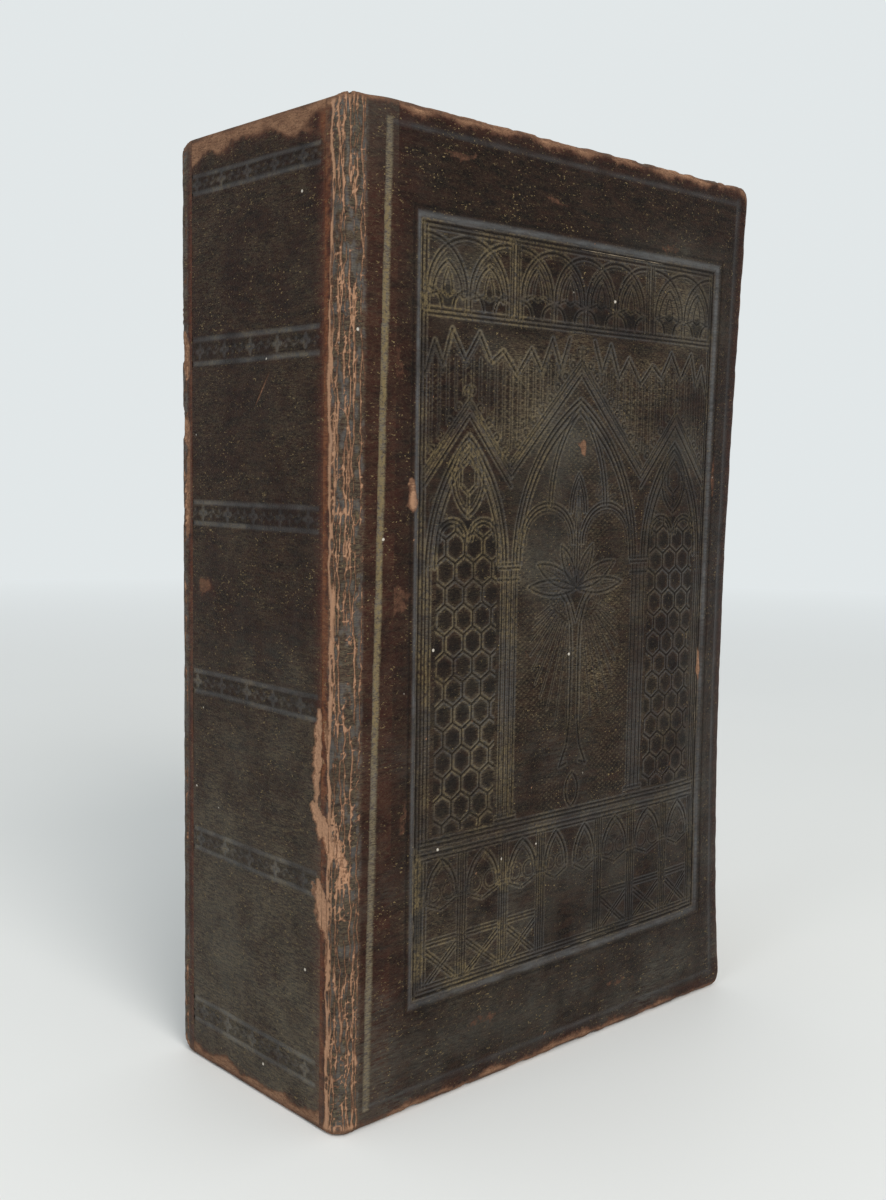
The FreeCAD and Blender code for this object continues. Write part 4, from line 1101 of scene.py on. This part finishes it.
def jointSurface(s, z, side):
    # depth and layers of the strip round the spine's corner; s is 0 at the hinge line, + on the cover
    j = jointStrip
    worn, bold = (1.0, 1.0) if side < 0 else (0.6, 0.2)
    torn = flakeDepth(s, z) if side < 0 else 0.9 * flakeDepth(s - 3, bookHeight - z) * ramp(s, -7, -6)
    strip = ramp(s, -6.4, -5.2) * (1 - ramp(s, 2.2, 3.4))
    coverPart = ramp(s, 1.0, 2.4)
    line, raised = (worn * layer * strip for layer in cracks(s, z))
    jointLine, fineLine = (layer * coverPart for layer in borderLines(hingeX + s, z))
    plates = patches(s * 1.5, z, 2.2, 231, 3)
    depth = unevenness(hingeX + s, z) + j["gutter"] * bell(s - 3.0, 1.2) + j["crackDepth"] * line
    depth = depth - 0.05 * raised + j["plateHeight"] * strip * plates + j["tearDepth"] * torn
    depth = depth + 0.05 * torn * smoothNoise(s, z, 0.7, 251, 2) + border["depth"] * (jointLine + fineLine)
    end = np.minimum(z - tailZ, headZ - z)
    endWear = bell(end, 1.8)
    patch = patches(s, z, 5, 271, 3)
    dark, polishAndSheen, gilt = filletLayers(z, jointLine, fineLine, patch)
    # a bare crack along the spine's side of the joint, and the reddened leather beside it
    wide = np.clip(0.50 + 0.40 * noiseAlong(z, 7, 297, 3), 0.16, None)
    crackTan = bold * bell(s + 5.6 + 0.8 * noiseAlong(z, 8, 291, 4), wide)
    grains = 0.35 + 0.9 * ramp(smoothNoise(s, z, 0.9, 289, 2), -0.5, 0.5)
    glow = grains * bold * bell(s + 7.0 + 1.2 * smoothNoise(s, z, 3, 293, 3), 1.6)
    glow = glow * (0.35 + 0.65 * ramp(z, 20, 110)) * (0.5 + 0.7 * patch)
    # a net of fine cracks lies where a warped noise passes through nought
    net = smoothNoise(s * 1.3 + 0.5 * smoothNoise(s, z, 2.4, 299, 2), z * 0.8, 1.7, 295, 2)
    crackled = bell(net, 0.10) * strip * worn
    wear = 0.8 * endWear + (0.85 + 0.4 * patch) * line + 1.15 * crackTan + 0.25 * glow
    wear = wear + 0.95 * crackled * ramp(patch, 0.15, 0.5) + 0.9 * slopeOf(torn)
    red = 0.95 * bell(s + 7.6, 2.4) + 0.9 * glow + 0.3 * strip
    red = red + 0.6 * coverPart * (0.4 + 0.6 * patch) + 0.4 * endWear
    # painted sheen: the raised plates of the joint are tinted pale grey, besides being less rough
    shine = strip * worn * 0.42 * ramp(plates, 0.45, 0.8) * (1 - line)
    layers = {
        "groove": np.clip(0.3 * line * (1 - patch) + dark, 0, 1),
        "burnishAndSheen": np.clip(shine + polishAndSheen, 0, 1),
        "gilt": gilt,
        "wear": np.clip(wear, 0, 1.2),
        "red": np.clip(red, 0, 1.5),
        "suede": np.clip(torn, 0, 1),
        "dustAndSheen": 0.35 * strip + 0.4 * bell(end, 12),
        "ochre": np.maximum(0.35 * strip + 0.15 * patch, 1.7 * jointLine),
    }
    return np.maximum(depth, surface["least"]), layers


dip = {"middle": 0.65, "cover": 0.6, "notch": 0.7, "backHead": 1.9, "backTail": 2.0, "zone": 14.0}


def dipped(s, side):
    # how far head and tail draw in: lower over the spine than on the covers, with a notch in the head
    # at the front joint, and further in at both ends of the hidden back joint
    low = dip["middle"] * (1 - ramp(s, -6.0, -0.5)) + dip["cover"] * (1 - ramp(s, -0.5, 9.5))
    if side < 0:
        return low + dip["notch"] * bell(s + 1.3, 0.4), 0.35 * bell(s + 2, 2)
    return low + dip["backHead"] * bell(s + 2.6, 2.4), dip["backTail"] * bell(s + 2.6, 2.4)


def lowered(z, headDip, tailDip):
    zone = dip["zone"]
    return z - headDip * ramp(z, headZ - zone, headZ) + tailDip * (1 - ramp(z, tailZ, tailZ + zone))


skinEdge = {"start": 1.3, "round": 0.7, "inner": 0.3, "flap": 2.7, "jointThick": 1.5, "spineThick": 2.25}


def wrappedSheet(grid, depth, layers, thickness, rounding, inner, flap):
    # a strip of leather with its head and tail turned in: rings are added before and after its rows
    s, z = grid
    rings = edgeProfile(rounding, thickness, inner, flap)
    deep = np.array([ring[1] + 0 * s[0] for ring in rings])
    inward = np.array([ring[0] + 0 * s[0] for ring in rings])
    fade = np.clip(1 - np.arange(len(rings)) / 4, 0, 1)[:, None]
    lowZ, lowDepth = (tailZ + inward)[::-1], (deep + fade * (depth[0] - surface["level"]))[::-1]
    highZ, highDepth = headZ - inward, deep + fade * (depth[-1] - surface["level"])
    ringS = np.tile(s[0], (len(rings), 1))
    lowLayers, highLayers = edgeLayers(ringS, lowZ, lowDepth), edgeLayers(ringS, highZ, highDepth)
    layers = {k: np.vstack([lowLayers[k], layers[k], highLayers[k]]) for k in layers}
    depth = np.vstack([lowDepth, depth, highDepth])
    return np.vstack([ringS, s, ringS]), np.vstack([lowZ, z, highZ]), depth, layers


def jointPiece(name, side, step):
    # round the corner: x = hinge - r sin a, y = face + r - r cos a, and flat before and after it
    e = skinEdge
    s = evenly(-cornerArc - jointStrip["spineReach"], jointStrip["coverReach"], step)
    grid = np.meshgrid(s, evenly(tailZ + e["start"], headZ - e["start"], step))
    depth, layers = jointSurface(*grid, side)
    onCover, onSpine, toEdge = ramp(s, -0.4, 0.3), 1 - ramp(s, -7.2, -5.4), ramp(s, 0, 5)
    thickness = e["jointThick"] + onCover * (cover["thickness"] - e["jointThick"])
    thickness = thickness + onSpine * (e["spineThick"] - e["jointThick"])
    rounding = e["round"] + toEdge * (cover["edgeRound"] - e["round"])
    inner = e["inner"] + toEdge * (cover["innerRound"] - e["inner"])
    flap = e["flap"] + ramp(s, 0.2, 2.0) * (cover["turnIn"] - e["flap"])
    s, z, depth, layers = wrappedSheet(grid, depth, layers, thickness, rounding, inner, flap)
    z = lowered(z, *dipped(s, side))
    a = np.clip(-s / cornerRadius, 0, math.pi / 2)
    flat = np.clip(-s - cornerArc, 0, None)
    x = hingeX + np.clip(s, 0, None) - (cornerRadius - depth) * np.sin(a)
    y = frontY + cornerRadius - (cornerRadius - depth) * np.cos(a) + flat
    layers = {k: v.ravel() for k, v in layers.items()}
    along = hingeX + s if side < 0 else -hingeX - s - surface["backShift"]
    layers["place"] = np.stack([along, depth, z], -1).reshape(-1, 3)
    points = np.stack([x, -side * y, z], -1).reshape(-1, 3)
    piece = makeMesh(name, points, gridFaces(*s.shape, side > 0), layers, leatherLook)
    y = side * -frontY * mm
    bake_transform(piece)
    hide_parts("spine_leather")


spine = {
    "pitch": 9.5, "fillet": 0.9, "firstRosette": -18.5, "step": 0.33, "frontEnd": -22.0, "backEnd": 25.4,
    "lineDepth": 0.16, "groundHeight": 0.05, "scratchDepth": 0.12, "tearDepth": 0.3,
    "scratch": ((-6.5, 154.1), (1.0, 144.1)), "brownSpot": (19.5, 107.6),
}


def bandPattern(y, z):
    # two fillets and a chain of small flowers for each band
    b = spine
    groove, bright, raised = np.zeros(y.shape), np.zeros(y.shape), np.zeros(y.shape)
    inBand = ramp(y, b["frontEnd"] - 0.4, b["frontEnd"] + 0.4) * (1 - ramp(y, b["backEnd"], b["backEnd"] + 1))
    for i, (tail, head) in enumerate(zip(bands["tails"], bands["heads"])):
        wobble = 0.12 * smoothNoise(y, z, 9, 301 + i)
        for edge in (tail + b["fillet"] / 2, head - b["fillet"] / 2):
            off = np.abs(z - edge - wobble)
            groove = np.maximum(groove, inBand * np.exp(-(off / 0.55) ** 4))
            bright = np.maximum(bright, inBand * np.exp(-(off / 0.50) ** 4))
        phase = (y - b["firstRosette"] - 1.1 * (i % 3)) / b["pitch"]
        cell = (phase - np.round(phase)) * b["pitch"]
        dz = z - (tail + head) / 2 - wobble
        radius = np.hypot(cell, dz)
        petals = 1.15 + 0.42 * np.cos(4 * np.arctan2(dz, cell))
        flower = bell(np.clip(radius - petals, 0, None), 0.22) * (0.45 + 0.55 * ramp(radius, 0.2, 0.5))
        stem = bell(dz - 0.55 * np.sin(cell * 1.3), 0.2) * ramp(np.abs(cell), 1.7, 2.1)
        bud = np.maximum(bell(np.hypot(np.abs(cell) - 3.1, dz - 0.6 * np.sign(cell)), 0.42),
                         bell(np.hypot(np.abs(cell) - 3.9, dz + 0.5 * np.sign(cell)), 0.32))
        chain = inBand * np.clip(flower + 0.8 * stem + bud, 0, 1) * (np.abs(dz) < 1.75)
        groove = np.maximum(groove, 0.8 * chain)
        bright = np.maximum(bright, 0.75 * chain)
        raised = np.maximum(raised, inBand * (np.abs(dz) < 1.8) * (1 - chain))
    return groove, bright, raised


def spineSurface(y, z):
    # the tooled bands, a rubbed head and tail, torn flakes by the front joint and a few old marks
    b = spine
    groove, bright, raised = bandPattern(y, z)
    along = hingeX - cornerArc - cornerRadius - y + frontY
    end = np.minimum(z - tailZ, headZ - z)
    endWear = bell(end, 2.0)
    # the rubbed zone is deepest at the head by the front joint
    atHead = 7.0 + 3.5 * (1 - ramp(y, -24, -4)) + 2 * ramp(y, 14, 24)
    reach = np.where(z > bookHeight / 2, atHead, 5.5) + 2.2 * noiseAlong(y, 5, 331, 3)
    zone = 1 - ramp(end, reach - 4, reach)
    scar, part = lineBetween(y, z, *b["scratch"])
    scratch = bell(scar, 0.28) * np.sin(np.pi * np.clip(part, 0.02, 0.98))
    spotY, spotZ = b["brownSpot"]
    brown = 1.1 - ((y - spotY) / 5.0) ** 2 - ((z - spotZ) / 2.6) ** 2 + 0.8 * smoothNoise(y, z, 2.6, 321, 3)
    brown = np.clip(brown, 0, 1) * (np.abs(y - spotY) < 7)
    torn = flakeDepth(-(cornerArc + y - frontY - cornerRadius), z)
    patch = patches(y, z, 6, 311, 3)
    front, back = bell(y - frontY - 5.6, 2.4), bell(-frontY - 4.0 - y, 2.6)
    depth = unevenness(along, z) + b["lineDepth"] * groove - b["groundHeight"] * raised
    depth = depth + b["scratchDepth"] * scratch + b["tearDepth"] * torn
    wear = 0.85 * endWear + 0.72 * zone * (0.35 + patch) + 0.9 * scratch + 0.62 * brown
    wear = wear + 0.5 * back * patch + 0.9 * slopeOf(torn) + 0.42 * front * ramp(patch, 0.35, 0.7)
    red = 0.95 * front + 0.5 * zone + 0.45 * bell(y - frontY - 3.2, 1.3) * (0.4 + 0.9 * patch)
    red = red + 0.12 + 0.35 * back + 0.5 * endWear + 0.5 * brown
    layers = {
        "groove": np.clip(0.35 * groove * (1 - patch) + 0.3 * raised, 0, 1),
        # the tooled lines and flowers of the bands get a painted grey sheen through this layer
        "burnishAndSheen": np.clip(bright * (0.25 + 0.35 * patch), 0, 1),
        "gilt": 0.25 * bright * ramp(patch, 0.5, 0.7),
        "wear": np.clip(wear, 0, 0.84),
        "red": np.clip(red, 0, 1.5),
        "suede": np.clip(torn, 0, 1),
        # this grey, rising toward the tail in patches, is painted reflection of the pale floor on the spine's
        # lower part
        "dustAndSheen": np.clip(0.55 * (1 - ramp(z, 10, 120)) * (0.3 + 0.9 * patch), 0, 1),
        "ochre": 0.25 * patch + 0.25 * (1 - ramp(z, 20, 120)),
    }
    return np.maximum(depth, surface["least"]), layers


def spinePiece():
    # the flat face of the spine, between the two joint pieces
    e = skinEdge
    side = cornerRadius + jointStrip["spineReach"]
    grid = np.meshgrid(evenly(frontY + side, backY - side, spine["step"]),
                       evenly(tailZ + e["start"], headZ - e["start"], spine["step"]))
    depth, layers = spineSurface(*grid)
    y, z, depth, layers = wrappedSheet(grid, depth, layers, e["spineThick"], e["round"], e["inner"], e["flap"])
    frontDip = dipped(frontY + cornerRadius - y - cornerArc, -1)
    backDip = dipped(y - backY + cornerRadius - cornerArc, 1)
    z = lowered(z, np.maximum(frontDip[0], backDip[0]), np.maximum(frontDip[1], backDip[1]))
    layers = {k: v.ravel() for k, v in layers.items()}
    along = hingeX - cornerArc - cornerRadius - y + frontY
    layers["place"] = np.stack([along, depth, z], -1).reshape(-1, 3)
    points = np.stack([spineX + depth, y, z], -1).reshape(-1, 3)
    piece = makeMesh("spine_skin", points, gridFaces(*y.shape, True), layers, leatherLook)
    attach(piece, "book_block")
    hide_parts("spine_leather")


panelPieces()
print("panel done")
coverSkin("front_cover_skin", -1, "front_cover", "front_leather", True)
coverSkin("back_cover_skin", 1, "back_cover", "back_leather", False)
jointPiece("front_joint_skin", -1, jointStrip["step"])
jointPiece("back_joint_skin", 1, jointStrip["backStep"])
spinePiece()


print("bands of silk and endpaper folds")


def headbandPiece(name, nodeName):
    # a rounded bead with its threads standing proud: radius times 1 + swell |sin(pi y / thread)|
    (x1, y1, z1), (x2, y2, z2) = [tuple(v / mm for v in corner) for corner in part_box(nodeName)]
    gy, ga = np.meshgrid(evenly(y1, y2, 0.12), np.radians(np.linspace(0, 360, 25)), indexing="ij")
    end = np.clip(np.minimum(gy - y1, y2 - gy) / 0.5, 0.05, 1)
    ridge = (1 - silk["swell"] + silk["swell"] * np.abs(np.sin(np.pi * gy / silk["thread"]))) * np.sqrt(end)
    across, up = (np.sign(v) * np.abs(v) ** silk["squareness"] * ridge for v in (np.cos(ga), np.sin(ga)))
    points = np.stack([(x1 + x2) / 2 + (x2 - x1) / 2 * across, gy, (z1 + z2) / 2 + (z2 - z1) / 2 * up], -1)
    piece = makeMesh(name, points.reshape(-1, 3), gridFaces(*gy.shape), {}, threadLook)
    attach(piece, "book_block")
    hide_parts(nodeName)


fold = {"before": 0.3, "after": 0.9, "bendEnd": 0.6, "ends": 4.0, "pasted": 0.3, "lift": 0.02}


def endpaperFold(name, side):
    # paper that carries on from the free endpaper over the joint to the pasted one
    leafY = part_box("front_flyleaf")[0][1] / mm
    pastedY = frontY + cover["thickness"] + fold["pasted"]
    gx, gz = np.meshgrid(np.linspace(hingeX - fold["before"], hingeX + fold["after"], 25),
                         evenly(tailZ + fold["ends"], headZ - fold["ends"], 4.0))
    part = ramp(gx, gx[0, 0], gx[0, -1])
    y = leafY + fold["lift"] + (pastedY - leafY + fold["lift"]) * part
    points = np.stack([gx, -side * y, gz], -1).reshape(-1, 3)
    piece = makeMesh(name, points, gridFaces(*gx.shape, side < 0), {}, paperLook)
    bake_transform(piece)


headbandPiece("headband_silk", "headband")
headbandPiece("tailband_silk", "tailband")
endpaperFold("front_endpaper_fold", -1)
endpaperFold("back_endpaper_fold", 1)


print("stage, light and camera")

room = {
    "air": (0.76, 0.80, 0.81), "floor": (0.835, 0.838, 0.826), "fill": 0.74, "gloss": 0.2,
    "key": 20.0, "side": 4.0,
}


def floorMaterial():
    # a pale sweep that fades to the colour of the air far away
    material, tree, shader = newTree("pale_sweep")
    place = addNode(tree, "ShaderNodeTexCoord").outputs["Object"]
    cloud = noise(tree, place, 0.35, 3.0, 0.5)
    shaded = tuple(0.97 * v for v in room["floor"])
    plug(tree, shader, {"Base Color": blendColour(tree, spread(tree, cloud, 0.3, 0.7), shaded, room["floor"]),
                        "Roughness": 0.55, "Specular IOR Level": 0.3})
    air = addNode(tree, "ShaderNodeEmission", {"Color": (*room["air"], 1.0), "Strength": 1.0})
    far = addNode(tree, "ShaderNodeVectorMath", {0: place}, operation="LENGTH").outputs[1]
    mix = addNode(tree, "ShaderNodeMixShader", {0: spread(tree, far, 0.35, 1.3), 1: shader.outputs[0],
                                                2: air.outputs[0]})
    plug(tree, tree.nodes["output"], {"Surface": mix.outputs[0]})
    return material


floorHalf, floorTop = 12.0, -0.0002
floorMesh = bpy.data.meshes.new("floor")
corners = ((-floorHalf, -floorHalf), (floorHalf, -floorHalf), (floorHalf, floorHalf), (-floorHalf, floorHalf))
floorMesh.from_pydata([(x, y, floorTop) for x, y in corners], [], [(0, 1, 2, 3)])
floorMesh.materials.append(floorMaterial())
floor = bpy.data.objects.new("floor", floorMesh)
bpy.context.collection.objects.link(floor)

world = bpy.data.worlds.new("studio")
bpy.context.scene.world = world
world.use_nodes = True
air = world.node_tree
air.nodes.clear()
rays = addNode(air, "ShaderNodeLightPath")
glossy = times(air, rays.outputs["Is Glossy Ray"], room["gloss"])
seen = calc(air, "MAXIMUM", rays.outputs["Is Camera Ray"], glossy)
strength = spread(air, seen, 0.0, 1.0, room["fill"], 1.0)
background = addNode(air, "ShaderNodeBackground", {"Color": (*room["air"], 1.0), "Strength": strength})
addNode(air, "ShaderNodeOutputWorld", {"Surface": background.outputs[0]})


def areaLight(name, place, target, width, power, colour):
    light = bpy.data.lights.new(name, "AREA")
    light.shape = "DISK"
    light.size = width
    light.energy = power
    light.color = colour
    lamp = bpy.data.objects.new(name, light)
    lamp.location = place
    lamp.rotation_euler = (Vector(target) - Vector(place)).to_track_quat("-Z", "Y").to_euler()
    bpy.context.collection.objects.link(lamp)


areaLight("key", (-0.42, -1.35, 1.05), (0, 0, 0.09), 0.9, room["key"], (1.0, 0.975, 0.94))
areaLight("side", (-1.3, -0.1, 0.9), (0, 0, 0.10), 0.9, room["side"], (0.94, 0.97, 1.0))

# the camera's place in metres and its turns in degrees, from the lines of the cover in perspective
view = {
    "lens": 40.347, "sensor": 36.0, "place": (-0.22298, -0.23184, 0.13388),
    "heading": 47.506, "pitch": -5.598, "roll": 0.884,
}
cameraData = bpy.data.cameras.new("camera")
cameraData.lens = view["lens"]
cameraData.sensor_width = view["sensor"]
camera = bpy.data.objects.new("camera", cameraData)
bpy.context.collection.objects.link(camera)
heading, pitch, roll = (math.radians(view[turn]) for turn in ("heading", "pitch", "roll"))
forward = Vector((math.cos(heading) * math.cos(pitch), math.sin(heading) * math.cos(pitch), math.sin(pitch)))
level = forward.cross(Vector((0, 0, 1))).normalized()
upright = level.cross(forward)
right = math.cos(roll) * level + math.sin(roll) * upright
top = math.cos(roll) * upright - math.sin(roll) * level
turned = Matrix((right, top, -forward)).transposed().to_4x4()
camera.matrix_world = Matrix.Translation(view["place"]) @ turned
bpy.context.scene.camera = camera
bpy.context.scene.view_settings.view_transform = "Standard"
